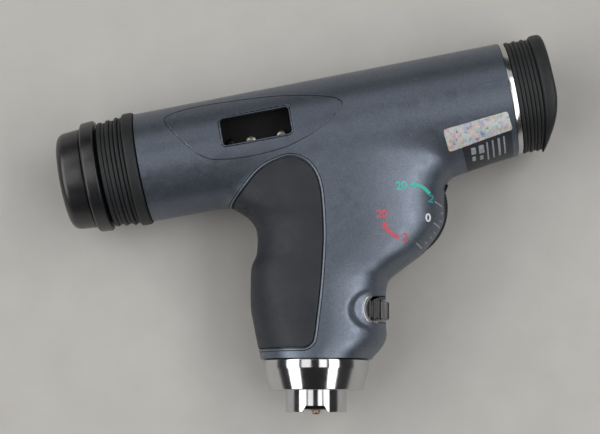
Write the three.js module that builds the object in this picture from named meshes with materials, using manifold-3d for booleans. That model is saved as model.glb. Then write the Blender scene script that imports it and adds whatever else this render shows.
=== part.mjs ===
// Wide-view ophthalmoscope head, lying on its side, without its power handle.
// Instrument frame: the neck axis is Y (the handle end at -Y), the viewing axis crosses it at
// the origin and is tilted in the XY plane, and Z is across the instrument. The patient side is
// at -X, the observer's brow rest at +X. Lengths are millimetres.
// Barrel frame: the same origin turned by barrelTilt, with X along the viewing axis.

import * as THREE from 'three';
import { mergeVertices } from 'three/addons/utils/BufferGeometryUtils.js';
import Module from 'manifold-3d';

const wasm = await Module();
wasm.setup();

// ---------------------------------------------------------------- driving dimensions

const barrelTilt = THREE.MathUtils.degToRad(10.4);
const fitGap = 0.3;               // between pieces that seat on each other
const runGap = 0.35;              // between pieces that move on each other
const labelGap = 0.1;             // under the stuck-on labels

// barrel housing, along the viewing axis
const housingFront = -55.1;
const housingRear = 61.1;
const barrelFrontRadius = 17.15;
const barrelRearRadius = 17.8;
const shellWall = 2.4;
const skinDepth = 1.2;            // thickness of the grip pad and of the side panels

// neck housing, down from the viewing axis
const neckLength = 70.3;
const neckTop = -2;
const neckEndRadius = 17.3;

// optical chassis, the tube that everything in the barrel seats on
const chassisWall = 1.4;
const chassisRadius = barrelFrontRadius - shellWall - 0.45;
const chassisBore = chassisRadius - chassisWall;
const chassisInBrowRest = 6.9;    // how far the tube reaches into the brow rest

// front end
const noseCapLength = 7.7;
const noseCapRadius = 15.8;
const noseRingWidth = 4.1;
const noseRingRadius = 17.7;
const noseOpening = 11.6;
const bumperWidth = 11.5;
const bumperRibRadii = [16.5, 16.85, 17.2];
const bumperMainRadius = 17.9;
const bumperMainWidth = 3.6;

// observer end
const trimWidth = 1.7;
const trimRadius = 17.6;
const browRestLength = 12;
const browRibRadius = 18.35;
const browRibCount = 3;
const browLipRadius = 18.5;
const browLipWidth = 4.2;
// how far the lip's lower side is cut back: [from the end, place across the barrel]
const browCutBack = [[0, -4], [-0.9, -9], [-2, -12], [-4.1, -16], [-6.4, -19.5]];

// focusing wheel
const wheelX = 25.3;
const wheelY = -23.3;
const wheelRadius = 16;
const wheelThickness = 5;
const wheelAxleRadius = 1.5;
const wheelBossRadius = 3.2;
const wheelTurn = THREE.MathUtils.degToRad(300);
const camStart = 6;               // radius of the spiral groove where it begins
const camRim = 2.5;               // left between the spiral's outer end and the wheel's edge
const camPinRadius = 1;
const camDepth = 1.9;

// lens carriage
const carriageLength = 6;
const carriageRadius = 10.4;
const focusLensRadius = 8;
const rodRadius = 0.9;
const rodRim = 1.5;               // from the guide rods' middle lines to the chassis bore
const rodOffset = chassisBore - rodRim;
const armWidth = 4;
const armThickness = 2.8;
const carriageLead = 12;          // from the follower pin to the middle of the carriage

// aperture dial
const dialX = 10;
const dialY = -55.3;
const dialRadius = 12.8;
const dialHeight = 5.9;
const dialRibs = 42;
const dialRibDepth = 0.5;
const dialWeb = 1.6;
const dialAxleRadius = 1.2;
const apertureCount = 5;
const apertureRadii = [1.5, 1.1, 0.8, 1.3, 1.5];

// light column in the neck
const plateThickness = 1.5;
const columnRadius = 6.5;
const columnBore = 5.5;
const columnTop = -16;
const columnLensRadius = 5.2;

// base
const skirtRadius = 16.5;
const skirtRim = 2.6;
const skirtLength = 9.4;
const skirtEndRadius = 14.6;
const skirtPlugWall = 1.6;        // of the skirt's plug, which fits up inside the housing
const skirtPlugLength = 3.5;
const bayonetRadius = 9.5;
const bayonetLength = 6.8;
const bayonetBore = 5.7;
const notchTopWidth = 5.7;
const notchEndWidth = 8.3;
const notchDepth = 2;
const lampRadius = 4;
const bulbRadius = 3;
const bulbLength = 5.6;
const contactRadius = 1.6;

// side panel, and the window through it, in the barrel frame
const windowX = -17.5;
const windowY = 4.1;
const windowWidth = 22;
const windowHeight = 9.2;
const windowCorner = 1;
const screwPlateTop = 8.5;
const screwPlateThickness = 1.5;
const screwPlateFront = -31;
const screwPlateRear = -5.4;
const screwHeadRadius = 1.75;
const screwHeadHeight = 1.2;
const screwShankRadius = 0.9;
const screwLength = 5;
const windowScrews = [[-20, 1.2], [-10.2, 1.2], [-26.5, 1.6]];

const roundSteps = 32;
const smallSteps = 16;
const neckRings = 13;
const padSteps = 2;

// ---------------------------------------------------------------- solids and geometry

// A closed three.js geometry as a solid, with its faces turned outwards.
function solidOf(geometry) {
  const bare = geometry.clone();
  bare.deleteAttribute('normal');
  bare.deleteAttribute('uv');
  const merged = mergeVertices(bare, 1e-4);
  const position = merged.attributes.position.array;
  const triangles = [];
  for (let i = 0; i < merged.index.count; i += 3) {
    const [a, b, c] = [0, 1, 2].map((corner) => merged.index.getX(i + corner));
    if (a !== b && b !== c && c !== a) triangles.push(a, b, c);
  }
  if (signedVolume(position, triangles) < 0) triangles.reverse();
  return new wasm.Manifold(new wasm.Mesh({
    numProp: 3,
    vertProperties: new Float32Array(position),
    triVerts: new Uint32Array(triangles),
  }));
}

function signedVolume(position, triangles) {
  const [a, b, c] = [new THREE.Vector3(), new THREE.Vector3(), new THREE.Vector3()];
  let volume = 0;
  for (let i = 0; i < triangles.length; i += 3) {
    a.fromArray(position, 3 * triangles[i]);
    b.fromArray(position, 3 * triangles[i + 1]);
    c.fromArray(position, 3 * triangles[i + 2]);
    volume += a.dot(b.cross(c)) / 6;
  }
  return volume;
}

function geometryOf(solid) {
  const mesh = solid.getMesh();
  const geometry = new THREE.BufferGeometry();
  geometry.setAttribute('position', new THREE.BufferAttribute(new Float32Array(mesh.vertProperties), 3));
  geometry.setIndex(Array.from(mesh.triVerts));
  geometry.computeVertexNormals();
  return geometry;
}

function join(solids) {
  return solids.reduce((whole, solid) => whole.add(solid));
}

function cut(whole, tools) {
  return tools.reduce((rest, tool) => rest.subtract(tool), whole);
}

// A block between two corners.
function block(low, high) {
  const size = high.map((value, axis) => value - low[axis]);
  const geometry = new THREE.BoxGeometry(...size);
  geometry.translate(...low.map((value, axis) => value + size[axis] / 2));
  return solidOf(geometry);
}

const turnToAxis = {
  x: (geometry) => geometry.rotateZ(-Math.PI / 2),
  y: (geometry) => geometry,
  z: (geometry) => geometry.rotateX(Math.PI / 2),
};

// A shape turned about an axis, from a closed profile of [radius, place along the axis].
function turned(profile, axis, steps = roundSteps) {
  const points = [...profile, profile[0]].map(([radius, along]) => new THREE.Vector2(radius, along));
  return solidOf(turnToAxis[axis](new THREE.LatheGeometry(points, steps)));
}

// A plain rod between two places along an axis; centre gives its two other coordinates in order.
function rod(axis, radius, from, to, centre = [0, 0], steps = smallSteps) {
  const geometry = new THREE.CylinderGeometry(radius, radius, to - from, steps);
  geometry.translate(0, (from + to) / 2, 0);
  turnToAxis[axis](geometry);
  const [first, second] = centre;
  const shift = { x: [0, first, second], y: [first, 0, second], z: [first, second, 0] }[axis];
  return solidOf(geometry.translate(...shift));
}

// A ring between two radii.
function ring(axis, outer, inner, from, to, steps = roundSteps) {
  return turned([[inner, from], [outer, from], [outer, to], [inner, to]], axis, steps);
}

// A lens with two curved faces, bulging by the two given amounts.
function lens(axis, radius, middle, edge, bulgeLow, bulgeHigh, steps = 20) {
  const profile = [];
  const arcSteps = 3;
  for (let i = 0; i <= arcSteps; i += 1) {
    const share = i / arcSteps;
    profile.push([radius * share, middle - edge / 2 - bulgeLow * (1 - share * share)]);
  }
  for (let i = arcSteps; i >= 0; i -= 1) {
    const share = i / arcSteps;
    profile.push([radius * share, middle + edge / 2 + bulgeHigh * (1 - share * share)]);
  }
  return turned(profile, axis, steps);
}

// A flat outline in XY, pulled from one Z to another.
function pulled(shape, from, to, curveSteps = 12) {
  const geometry = new THREE.ExtrudeGeometry(shape, {
    depth: to - from,
    bevelEnabled: false,
    curveSegments: curveSteps,
  });
  return solidOf(geometry.translate(0, 0, from));
}

function closedSpline(points, steps) {
  const curve = new THREE.CatmullRomCurve3(points.map(([x, y]) => new THREE.Vector3(x, y, 0)), true);
  return new THREE.Shape(curve.getPoints(steps).slice(0, -1).map(({ x, y }) => new THREE.Vector2(x, y)));
}

function roundedRectangle(x, y, width, height, corner) {
  const shape = new THREE.Shape();
  const [left, right] = [x - width / 2, x + width / 2];
  const [bottom, top] = [y - height / 2, y + height / 2];
  shape.absarc(right - corner, top - corner, corner, 0, Math.PI / 2);
  shape.absarc(left + corner, top - corner, corner, Math.PI / 2, Math.PI);
  shape.absarc(left + corner, bottom + corner, corner, Math.PI, 1.5 * Math.PI);
  shape.absarc(right - corner, bottom + corner, corner, 1.5 * Math.PI, 2 * Math.PI);
  return shape;
}

// The same solid turned from the barrel frame into the instrument frame.
function tilted(solid) {
  return solidOf(geometryOf(solid).rotateZ(barrelTilt));
}

// A place in the instrument frame, seen in the barrel frame.
function inBarrel(x, y) {
  const place = new THREE.Vector2(x, y).rotateAround(new THREE.Vector2(), -barrelTilt);
  return [place.x, place.y];
}

// ---------------------------------------------------------------- outer form of the housing

const far = 60;                   // well outside the neck and the barrel on every side

function barrelRadiusAt(along) {
  const share = (along - housingFront) / (housingRear - housingFront);
  return THREE.MathUtils.lerp(barrelFrontRadius, barrelRearRadius, share);
}

// The front and rear edges of the neck as seen from the side: [share of the neck length, X].
const neckFrontEdge = [
  [0.03, -36], [0.21, -31.5], [0.317, -26.7], [0.388, -20.1], [0.465, -18.2],
  [0.54, -18.5], [0.643, -20.4], [0.737, -20.4], [0.84, -19.5], [1, -neckEndRadius],
];
const neckRearEdge = [
  [0.03, 50], [0.15, 48], [0.223, 42.2], [0.284, 39.8], [0.356, 39.9], [0.434, 38.3],
  [0.5, 34.2], [0.568, 29.2], [0.62, 25.4], [0.705, 21.9], [0.797, 21.6], [0.885, 22.1],
  [0.947, 20.6], [1, neckEndRadius],
];
const neckHalfDepth = [[0.03, 16.6], [0.31, 16.3], [0.57, 15.5], [0.78, 15.8], [1, neckEndRadius - 0.3]];

function smoothEdge(points) {
  const curve = new THREE.SplineCurve(points.map(([share, value]) => new THREE.Vector2(share, value)));
  const samples = curve.getPoints(points.length * 12);
  return (share) => {
    const next = samples.findIndex((sample) => sample.x >= share);
    if (next === 0) return samples[0].y;
    if (next < 0) return samples[samples.length - 1].y;
    const [low, high] = [samples[next - 1], samples[next]];
    return THREE.MathUtils.mapLinear(share, low.x, high.x, low.y, high.y);
  };
}

const neckFrontX = smoothEdge(neckFrontEdge);
const neckRearX = smoothEdge(neckRearEdge);
const neckDepth = smoothEdge(neckHalfDepth);

// The neck: an upright cylinder whose rings are stretched to oval sections.
function neckSolid(inset, below = 0) {
  const length = neckLength + below + neckTop;
  const geometry = new THREE.CylinderGeometry(1, 1, length, roundSteps, neckRings);
  geometry.translate(0, neckTop - length / 2, 0);
  const position = geometry.attributes.position;
  for (let i = 0; i < position.count; i += 1) {
    const share = Math.min(1, -position.getY(i) / neckLength);
    const [front, rear] = [neckFrontX(share) + inset, neckRearX(share) - inset];
    position.setX(i, (front + rear) / 2 + position.getX(i) * (rear - front) / 2);
    position.setZ(i, position.getZ(i) * (neckDepth(share) - inset));
  }
  return solidOf(geometry);
}

function barrelSolid(inset, beyond = 0) {
  const [front, rear] = [housingFront - beyond, housingRear + beyond];
  return turned([
    [0, front],
    [barrelRadiusAt(front) - inset, front],
    [barrelRadiusAt(rear) - inset, rear],
    [0, rear],
  ], 'x');
}

// The whole outer form, shrunk by an inset, and run on past its open ends.
function formSolid(inset, beyond = 0) {
  return tilted(barrelSolid(inset, beyond)).add(neckSolid(inset, beyond));
}

// Round the side panel, in the barrel frame: an almond drawn from its two tips.
function panelShape(grow) {
  const points = [
    [-45.5, 12.3], [-41, 14], [-31, 14.4], [-19, 14], [-7, 12.4], [5.5, 9], [10, 5.6],
    [5, 1.4], [-2, -2.1], [-12, -4.4], [-25, -4.9], [-34, -3.2], [-39.5, 2],
  ];
  const [middleX, middleY] = [windowX, windowY];
  return closedSpline(points.map(([x, y]) => {
    const reach = Math.hypot(x - middleX, y - middleY);
    return [x + grow * (x - middleX) / reach, y + grow * (y - middleY) / reach];
  }), 26);
}

// Round the grip pad, in the instrument frame; it runs off past the front edge of the neck, up to
// where that edge meets the underside of the barrel.
function padShape(grow) {
  const bottom = -neckLength + 3.2 - grow;
  const pastEdge = -28.2 - grow;
  const shape = new THREE.Shape();
  shape.moveTo(pastEdge, bottom);
  shape.lineTo(-4.8, bottom);
  shape.splineThru([
    [-1.2 + grow, -64.8], [0.6 + grow, -56], [2.8 + grow, -43], [3.7 + grow, -29],
    [2 + grow, -15], [-1.5 + 0.7 * grow, -9.8 + 0.7 * grow], [-6.6, -7.7 + grow],
    [-12, -8.9 + grow], [-17.4, -12 + grow], [-23.3, -18.3 + grow], [-26.9, -22.4 + grow],
  ].map(([x, y]) => new THREE.Vector2(x, y)));
  shape.lineTo(pastEdge, -22.4 + grow);
  return shape;
}

// ---------------------------------------------------------------- places shared by the pieces

const [wheelAlong, wheelDown] = inBarrel(wheelX, wheelY);
const halfWheel = wheelThickness / 2;
const camEnd = wheelRadius - camRim;
const camMiddle = (camStart + camEnd) / 2;
const pinAlong = wheelAlong - camMiddle;
const carriageMiddle = pinAlong + carriageLead;
const carriageTravel = (camEnd - camStart) / 2;
const bulkheadThickness = 1.5;
const bulkheadGap = 1.2;          // free run left at each end of the carriage's travel
const carriageReach = carriageLength / 2 + carriageTravel + bulkheadGap;
const armLow = halfWheel + 0.9;
const armHigh = armLow + armThickness;
const skirtTop = -neckLength - fitGap;
const skirtEnd = skirtTop - skirtLength;
const bayonetEnd = skirtEnd - bayonetLength;
const skirtPlugRadius = neckEndRadius - shellWall - fitGap - 0.7;
const skirtPlugBore = skirtPlugRadius - skirtPlugWall;
const bayonetFlange = skirtTop - skirtRim - 0.2;
const trimFront = housingRear + fitGap / 2;
const browFront = trimFront + trimWidth + fitGap / 2;
const browEnd = browFront + browRestLength;
const chassisRear = browFront + chassisInBrowRest;
const bumperRear = housingFront - fitGap;
const bumperFront = bumperRear - bumperWidth;
const noseRingRear = bumperFront - 1.6;
const noseRingFront = noseRingRear - noseRingWidth;
const chassisFront = noseRingFront + 0.4;
const noseCapRear = noseRingFront - fitGap;
const noseCapFront = noseCapRear - noseCapLength;
const dialTop = dialY + dialHeight / 2;
const dialBottom = dialY - dialHeight / 2;
const upperPlate = dialTop + 1.6;
const lowerPlate = dialBottom - 1.6 - plateThickness;
const bulbTop = lowerPlate - fitGap - 0.6;
const lampTop = bulbTop - bulbLength;
const sleeveTop = lampTop + 1;

// ---------------------------------------------------------------- housing

function nearHalf() {
  return block([-2 * far, -2 * far, fitGap / 2], [2 * far, 2 * far, far]);
}

function farHalf() {
  return block([-2 * far, -2 * far, -far], [2 * far, 2 * far, -fitGap / 2]);
}

// The thumb scoop beside the aperture dial, on both sides of the neck.
function thumbScoop(side) {
  const geometry = new THREE.SphereGeometry(1, 16, 10);
  geometry.scale(6.6, 5.2, 5);
  geometry.translate(dialX + 6.6, dialY, side * 16.2);
  return solidOf(geometry);
}

function wheelSlot() {
  return rod('z', wheelRadius + runGap, -halfWheel - 0.5, halfWheel + 0.5, [wheelX, wheelY], roundSteps);
}

function dialSlot() {
  return rod('y', dialRadius + 0.5, dialBottom - 0.4, dialTop + 0.4, [dialX, 0], roundSteps);
}

function windowHole() {
  const outline = roundedRectangle(windowX, windowY, windowWidth, windowHeight, windowCorner);
  return pulled(outline, 2, far, 4);
}

function wheelBoss(side) {
  const tube = ring('z', wheelBossRadius, wheelAxleRadius + 0.2, halfWheel + 0.6, far, smallSteps);
  const [nearEnd, farEnd] = [halfWheel + 7, far];
  const plug = rod('z', wheelAxleRadius + 0.5, nearEnd, farEnd);
  const boss = geometryOf(tube.add(plug));
  if (side < 0) boss.rotateX(Math.PI);
  return solidOf(boss.translate(wheelX, wheelY, 0)).intersect(formSolid(1));
}

function housingPieces() {
  const outer = formSolid(0);
  const beyond = 6;
  const cavity = formSolid(shellWall, beyond);
  const recessFloor = formSolid(skinDepth + fitGap, beyond);
  const outside = block([-far * 2, -far * 2, -far], [far * 2, far * 2, far]).subtract(recessFloor);
  const panelRecess = outside.intersect(tilted(pulled(panelShape(fitGap), 2, far)));
  const farPanelRecess = outside.intersect(tilted(pulled(panelShape(fitGap), -far, -2)));
  const padRecess = outside.intersect(pulled(padShape(fitGap), -far, far, padSteps));
  const shell = cut(outer, [
    cavity, padRecess, wheelSlot(), dialSlot(), thumbScoop(1), thumbScoop(-1),
  ]);
  const near = cut(shell, [panelRecess, tilted(windowHole())]).intersect(nearHalf());
  const rear = cut(shell, [farPanelRecess]).intersect(farHalf());
  const skin = outer.subtract(formSolid(skinDepth, beyond));
  const pad = skin.intersect(pulled(padShape(0), -far, far, padSteps));
  const nearPanel = skin.intersect(tilted(pulled(panelShape(0), 2, far))).subtract(tilted(windowHole()));
  const farPanel = skin.intersect(tilted(pulled(panelShape(0), -far, -2)));
  return {
    housing_near: near.add(wheelBoss(1)),
    housing_far: rear.add(wheelBoss(-1)),
    grip_pad: pad,
    side_panel_near: nearPanel,
    side_panel_far: farPanel,
  };
}

// A label follows the barrel's surface: start and end along it, and down from the top line.
function labelSolid(from, to, angleFrom, angleTo) {
  const thickness = 0.25;
  const skin = barrelSolid(-labelGap - thickness).subtract(barrelSolid(-labelGap));
  const reach = 1.6 * barrelRearRadius;
  const wedge = new THREE.Shape();
  wedge.moveTo(0, 0);
  wedge.lineTo(reach * Math.cos(angleFrom), reach * Math.sin(angleFrom));
  wedge.absarc(0, 0, reach, angleFrom, angleTo);
  const geometry = new THREE.ExtrudeGeometry(wedge, { depth: to - from, bevelEnabled: false });
  geometry.rotateY(-Math.PI / 2);
  geometry.translate(to, 0, 0);
  return skin.intersect(solidOf(geometry));
}

// ---------------------------------------------------------------- barrel contents

function chassis() {
  const lightHole = solidOf(geometryOf(rod('y', columnRadius + 0.6, -far, 0)).rotateZ(-barrelTilt));
  const wheelClearance = rod(
    'z', wheelRadius + 0.8, -halfWheel - 0.6, halfWheel + 0.6, [wheelAlong, wheelDown], roundSteps,
  );
  const armSlot = block(
    [carriageMiddle - carriageTravel - 3.4, -far, armLow - 0.5],
    [carriageMiddle + carriageTravel + 3.4, -6, armHigh + 0.5],
  );
  const plateOpening = block(
    [screwPlateFront - 1, -chassisRadius, screwPlateTop + 0.2],
    [screwPlateRear + 1, chassisRadius, far],
  );
  const bulkheads = [-1, 1].map((side) => {
    const place = carriageMiddle + side * (carriageReach + bulkheadThickness / 2);
    return ring('x', chassisRadius - 0.4, 9, place - bulkheadThickness / 2, place + bulkheadThickness / 2);
  });
  const tube = ring('x', chassisRadius, chassisBore, chassisFront, chassisRear);
  const rods = [-1, 1].map((side) => (
    rod('x', rodRadius + 0.15, ...rodSpan().map((end, i) => end + (i ? 0.15 : -0.15)), [0, side * rodOffset])
  ));
  return cut(join([tube, ...bulkheads]), [
    lightHole, wheelClearance, armSlot, plateOpening, ...rods,
  ]);
}

function spanFrom(start, length) {
  return [start, start + length];
}

function rodSpan() {
  const reach = carriageReach + bulkheadThickness - 0.4;
  return [carriageMiddle - reach, carriageMiddle + reach];
}

function screwPlate() {
  const halfWidth = Math.sqrt(chassisBore ** 2 - screwPlateTop ** 2) - fitGap;
  const plate = block(
    [screwPlateFront, -halfWidth, screwPlateTop - screwPlateThickness],
    [screwPlateRear, halfWidth, screwPlateTop],
  );
  const holes = windowScrews.map((place) => rod('z', screwShankRadius + 0.25, 0, far, place));
  return cut(plate, holes);
}

// A pan-head screw with a cross recess, its head on the screw plate.
function windowScrew() {
  const seat = screwPlateTop + 0.15;
  const head = rod('z', screwHeadRadius, seat, seat + screwHeadHeight);
  const shank = rod('z', screwShankRadius, seat - screwLength, seat + 0.2, [0, 0], 12);
  const slots = [[1.1, 0.25], [0.25, 1.1]].map(([halfX, halfY]) => (
    block([-halfX, -halfY, seat + 0.55], [halfX, halfY, far])
  ));
  return cut(head.add(shank), slots);
}

function lensCarriage() {
  const [low, high] = [carriageMiddle - carriageLength / 2, carriageMiddle + carriageLength / 2];
  const body = ring('x', carriageRadius, focusLensRadius + fitGap, low, high);
  const ears = [-1, 1].map((side) => {
    const edges = [side * (focusLensRadius + 1), side * (rodOffset + rodRadius + 0.3)].sort((a, b) => a - b);
    return block([low, -1.9, edges[0]], [high, 1.9, edges[1]]);
  });
  const rods = [-1, 1].map((side) => rod('x', rodRadius + 0.25, low - 1, high + 1, [0, side * rodOffset]));
  const outsideTube = -chassisRadius - 0.6;
  const barLow = outsideTube - 2.2;
  const [armFront, armRear] = [pinAlong - armWidth / 2, pinAlong + armWidth / 2];
  const tongue = block([carriageMiddle - 2.5, barLow, armLow], [carriageMiddle + 2.5, -9, armHigh]);
  const bar = block([armFront, barLow, armLow], [carriageMiddle, outsideTube, armHigh]);
  const arm = block([armFront, wheelDown - 2, armLow], [armRear, outsideTube, armHigh]);
  const pin = rod('z', camPinRadius, halfWheel - camDepth + 0.4, armLow + 0.5, [pinAlong, wheelDown], 16);
  return cut(join([body, ...ears, tongue, bar, arm]), rods).add(pin);
}

// The focusing wheel, with the spiral groove that drives the carriage's pin.
function focusWheel() {
  const disc = rod('z', wheelRadius, -halfWheel, halfWheel, [0, 0], 48);
  const bore = rod('z', wheelAxleRadius + runGap / 2, -far, far);
  const halfWidth = camPinRadius + runGap;
  const overrun = 1.1 * Math.asin(halfWidth / camStart);
  const pitch = (camEnd - camStart) / wheelTurn;
  const steps = 36;
  const outerEdge = [];
  const innerEdge = [];
  for (let i = 0; i <= steps; i += 1) {
    const turn = THREE.MathUtils.lerp(-wheelTurn / 2 - overrun, wheelTurn / 2 + overrun, i / steps);
    const middle = camMiddle + pitch * turn;
    // the pin lies towards the patient side at rest, and the groove passes under it as the wheel turns
    const direction = Math.PI + barrelTilt - turn;
    outerEdge.push([middle + halfWidth, direction]);
    innerEdge.push([middle - halfWidth, direction]);
  }
  const outline = [...outerEdge, ...innerEdge.reverse()].map(([radius, direction]) => (
    new THREE.Vector2(radius * Math.cos(direction), radius * Math.sin(direction))
  ));
  const groove = pulled(new THREE.Shape(outline), halfWheel - camDepth, far);
  return cut(disc, [bore, groove]);
}

function mirrorHolder() {
  const [inner, outer] = [6.4, 7.8];
  const foot = -Math.sqrt(chassisBore ** 2 - outer ** 2) + fitGap + 0.15;
  const cheeks = [-1, 1].map((side) => {
    const edges = [side * inner, side * outer].sort((a, b) => a - b);
    return block([-5, foot, edges[0]], [6.5, 0.5, edges[1]]);
  });
  const bar = block([4.6, foot, -inner - 0.5], [6.2, -4, inner + 0.5]);
  return join([...cheeks, bar]);
}

// The mirror sends light that comes up the neck out towards the patient.
const mirrorTurn = -(Math.PI / 2 + barrelTilt) / 2;

function mirrorPlate() {
  const geometry = new THREE.BoxGeometry(11, 1, 12);
  return solidOf(geometry.rotateZ(mirrorTurn).translate(-0.6, -5.2, 0));
}

// ---------------------------------------------------------------- the two ends

// Rounded rib profile between two places along the axis, standing up from a base radius.
function ribArc(from, to, base, crest, steps = 2) {
  const points = [];
  for (let i = 0; i <= steps; i += 1) {
    const share = i / steps;
    points.push([base + (crest - base) * Math.sin(Math.PI * share) ** 0.7, from + (to - from) * share]);
  }
  return points;
}

function frontBumper() {
  const bore = chassisRadius + fitGap;
  const ribsEnd = bumperRear - bumperMainWidth;
  const pitch = (ribsEnd - bumperFront) / bumperRibRadii.length;
  const ribs = bumperRibRadii.flatMap((crest, i) => (
    ribArc(bumperFront + i * pitch + 0.15, bumperFront + (i + 1) * pitch - 0.15, 15.6, crest)
  ));
  const main = ribArc(ribsEnd, bumperRear, 16.6, bumperMainRadius, 3);
  return turned([[bore, bumperFront], ...ribs, ...main, [bore, bumperRear]], 'x');
}

function browRest() {
  const bore = chassisRadius + fitGap;
  const mouth = 14.6;
  const lipFront = browEnd - browLipWidth;
  const pitch = (lipFront - browFront) / browRibCount;
  const ribs = [];
  for (let i = 0; i < browRibCount; i += 1) {
    ribs.push(...ribArc(browFront + i * pitch + 0.1, browFront + (i + 1) * pitch - 0.1, 17, browRibRadius));
  }
  const lip = ribArc(lipFront, browEnd, 16.4, browLipRadius, 3);
  const profile = [[bore, browFront], ...ribs, ...lip, [mouth, browEnd], [mouth, chassisRear + fitGap]];
  const whole = turned([...profile, [bore, chassisRear + fitGap]], 'x');
  // the lower side of the lip is cut back in a curve, to clear the observer's cheek
  const edge = browCutBack.map(([along, across]) => new THREE.Vector2(browEnd + along, across));
  const [first, last] = [edge[0], edge[edge.length - 1]];
  const beyond = [new THREE.Vector2(browEnd + far, last.y), new THREE.Vector2(browEnd + far, first.y)];
  return whole.subtract(pulled(new THREE.Shape([...edge, ...beyond]), -far, far));
}

function noseCap() {
  const rounding = 2.6;
  const bore = 13;
  const profile = [[noseOpening, noseCapFront], [noseCapRadius - rounding, noseCapFront]];
  const arcSteps = 3;
  for (let i = 1; i <= arcSteps; i += 1) {
    const angle = (i / arcSteps) * Math.PI / 2;
    profile.push([
      noseCapRadius - rounding + rounding * Math.sin(angle),
      noseCapFront + rounding - rounding * Math.cos(angle),
    ]);
  }
  profile.push([noseCapRadius, noseCapRear], [bore, noseCapRear]);
  profile.push([bore, noseCapFront + 2], [noseOpening, noseCapFront + 2]);
  return turned(profile, 'x');
}

// ---------------------------------------------------------------- light column and aperture dial

// The C-shaped frame that carries the dial's axle and the condenser tube.
function lightFrame() {
  const [left, right] = [-12, 15.5];
  const top = upperPlate + plateThickness;
  const bottom = lowerPlate;
  const outline = new THREE.Shape([
    [left, bottom], [right, bottom], [right, bottom + plateThickness],
    [left + plateThickness, bottom + plateThickness], [left + plateThickness, upperPlate],
    [right, upperPlate], [right, top], [left, top],
  ].map(([x, y]) => new THREE.Vector2(x, y)));
  const lightHole = rod('y', columnBore - 0.6, -far * 2, 0);
  const axleHole = rod('y', dialAxleRadius + 0.15, lowerPlate + 0.5, top - 0.5, [dialX, 0]);
  const fitted = pulled(outline, -far, far).intersect(formSolid(shellWall + fitGap, 0));
  return cut(fitted, [lightHole, axleHole]);
}

function condenserTube() {
  const foot = upperPlate + plateThickness + 0.2;
  return ring('y', columnRadius, columnBore, foot, columnTop, smallSteps);
}

// The dial: a ribbed rim on a web whose holes pass over the light column in turn.
function apertureDial() {
  const outline = new THREE.Shape();
  for (let i = 0; i < dialRibs * 2; i += 1) {
    const angle = (i / (dialRibs * 2)) * 2 * Math.PI;
    const radius = dialRadius - (i % 2 ? dialRibDepth : 0);
    const [x, y] = [radius * Math.cos(angle), radius * Math.sin(angle)];
    if (i === 0) outline.moveTo(x, y);
    else outline.lineTo(x, y);
  }
  const blank = new THREE.ExtrudeGeometry(outline, { depth: dialHeight, bevelEnabled: false });
  blank.translate(0, 0, -dialHeight / 2);
  const rim = solidOf(blank.rotateX(Math.PI / 2));
  const pocket = ring('y', 11.7, 3, -dialHeight / 2 + dialWeb, far);
  const bore = rod('y', dialAxleRadius + runGap / 2, -far, far);
  const holes = apertureRadii.map((radius, i) => {
    const angle = Math.PI + (i / apertureCount) * 2 * Math.PI;
    return rod('y', radius, -far, far, [dialX * Math.cos(angle), dialX * Math.sin(angle)], 16);
  });
  return cut(rim, [pocket, bore, ...holes]);
}

// A glass disc on the dial's web over its last aperture.
function redFreeFilter() {
  const angle = Math.PI + ((apertureCount - 1) / apertureCount) * 2 * Math.PI;
  const reach = dialX - 0.4;
  const seat = -dialHeight / 2 + dialWeb + 0.15;
  return rod('y', 1.9, seat, seat + 0.8, [reach * Math.cos(angle), reach * Math.sin(angle)], 20);
}

// A leaf that bears on the dial's underside and clicks between apertures.
function detentSpring() {
  const foot = lowerPlate + plateThickness + 0.1;
  const tip = dialBottom - 0.3;
  const outline = new THREE.Shape([
    [-9, foot], [-5.5, foot], [2.5, tip - 0.65], [4, tip - 0.3], [5.5, tip - 0.65],
    [5.5, tip - 0.35], [4, tip], [2.5, tip - 0.35], [-5.6, foot + 0.3], [-9, foot + 0.3],
  ].map(([x, y]) => new THREE.Vector2(x, y)));
  return pulled(outline, 6, 9);
}

// ---------------------------------------------------------------- base

function baseSkirt() {
  const plugTop = skirtTop + skirtPlugLength;
  return turned([
    [bayonetRadius + fitGap, skirtEnd],
    [skirtEndRadius, skirtEnd],
    [skirtRadius, skirtTop - skirtRim],
    [skirtRadius, skirtTop],
    [skirtPlugRadius, skirtTop],
    [skirtPlugRadius, plugTop],
    [skirtPlugBore, plugTop],
    [skirtPlugBore, bayonetFlange - fitGap],
    [bayonetRadius + fitGap, bayonetFlange - fitGap],
  ], 'y');
}

function bayonetBarrel() {
  const flange = skirtPlugBore - fitGap;
  const whole = turned([
    [bayonetBore, bayonetEnd],
    [bayonetRadius, bayonetEnd],
    [bayonetRadius, bayonetFlange],
    [flange, bayonetFlange],
    [flange, bayonetFlange + 3],
    [bayonetBore, bayonetFlange + 3],
  ], 'y');
  const notch = new THREE.Shape([
    [-notchEndWidth / 2, bayonetEnd - 1], [notchEndWidth / 2, bayonetEnd - 1],
    [notchEndWidth / 2, bayonetEnd], [notchTopWidth / 2, bayonetEnd + notchDepth],
    [-notchTopWidth / 2, bayonetEnd + notchDepth], [-notchEndWidth / 2, bayonetEnd],
  ].map(([x, y]) => new THREE.Vector2(x, y)));
  return whole.subtract(pulled(notch, -far, far));
}

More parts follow.
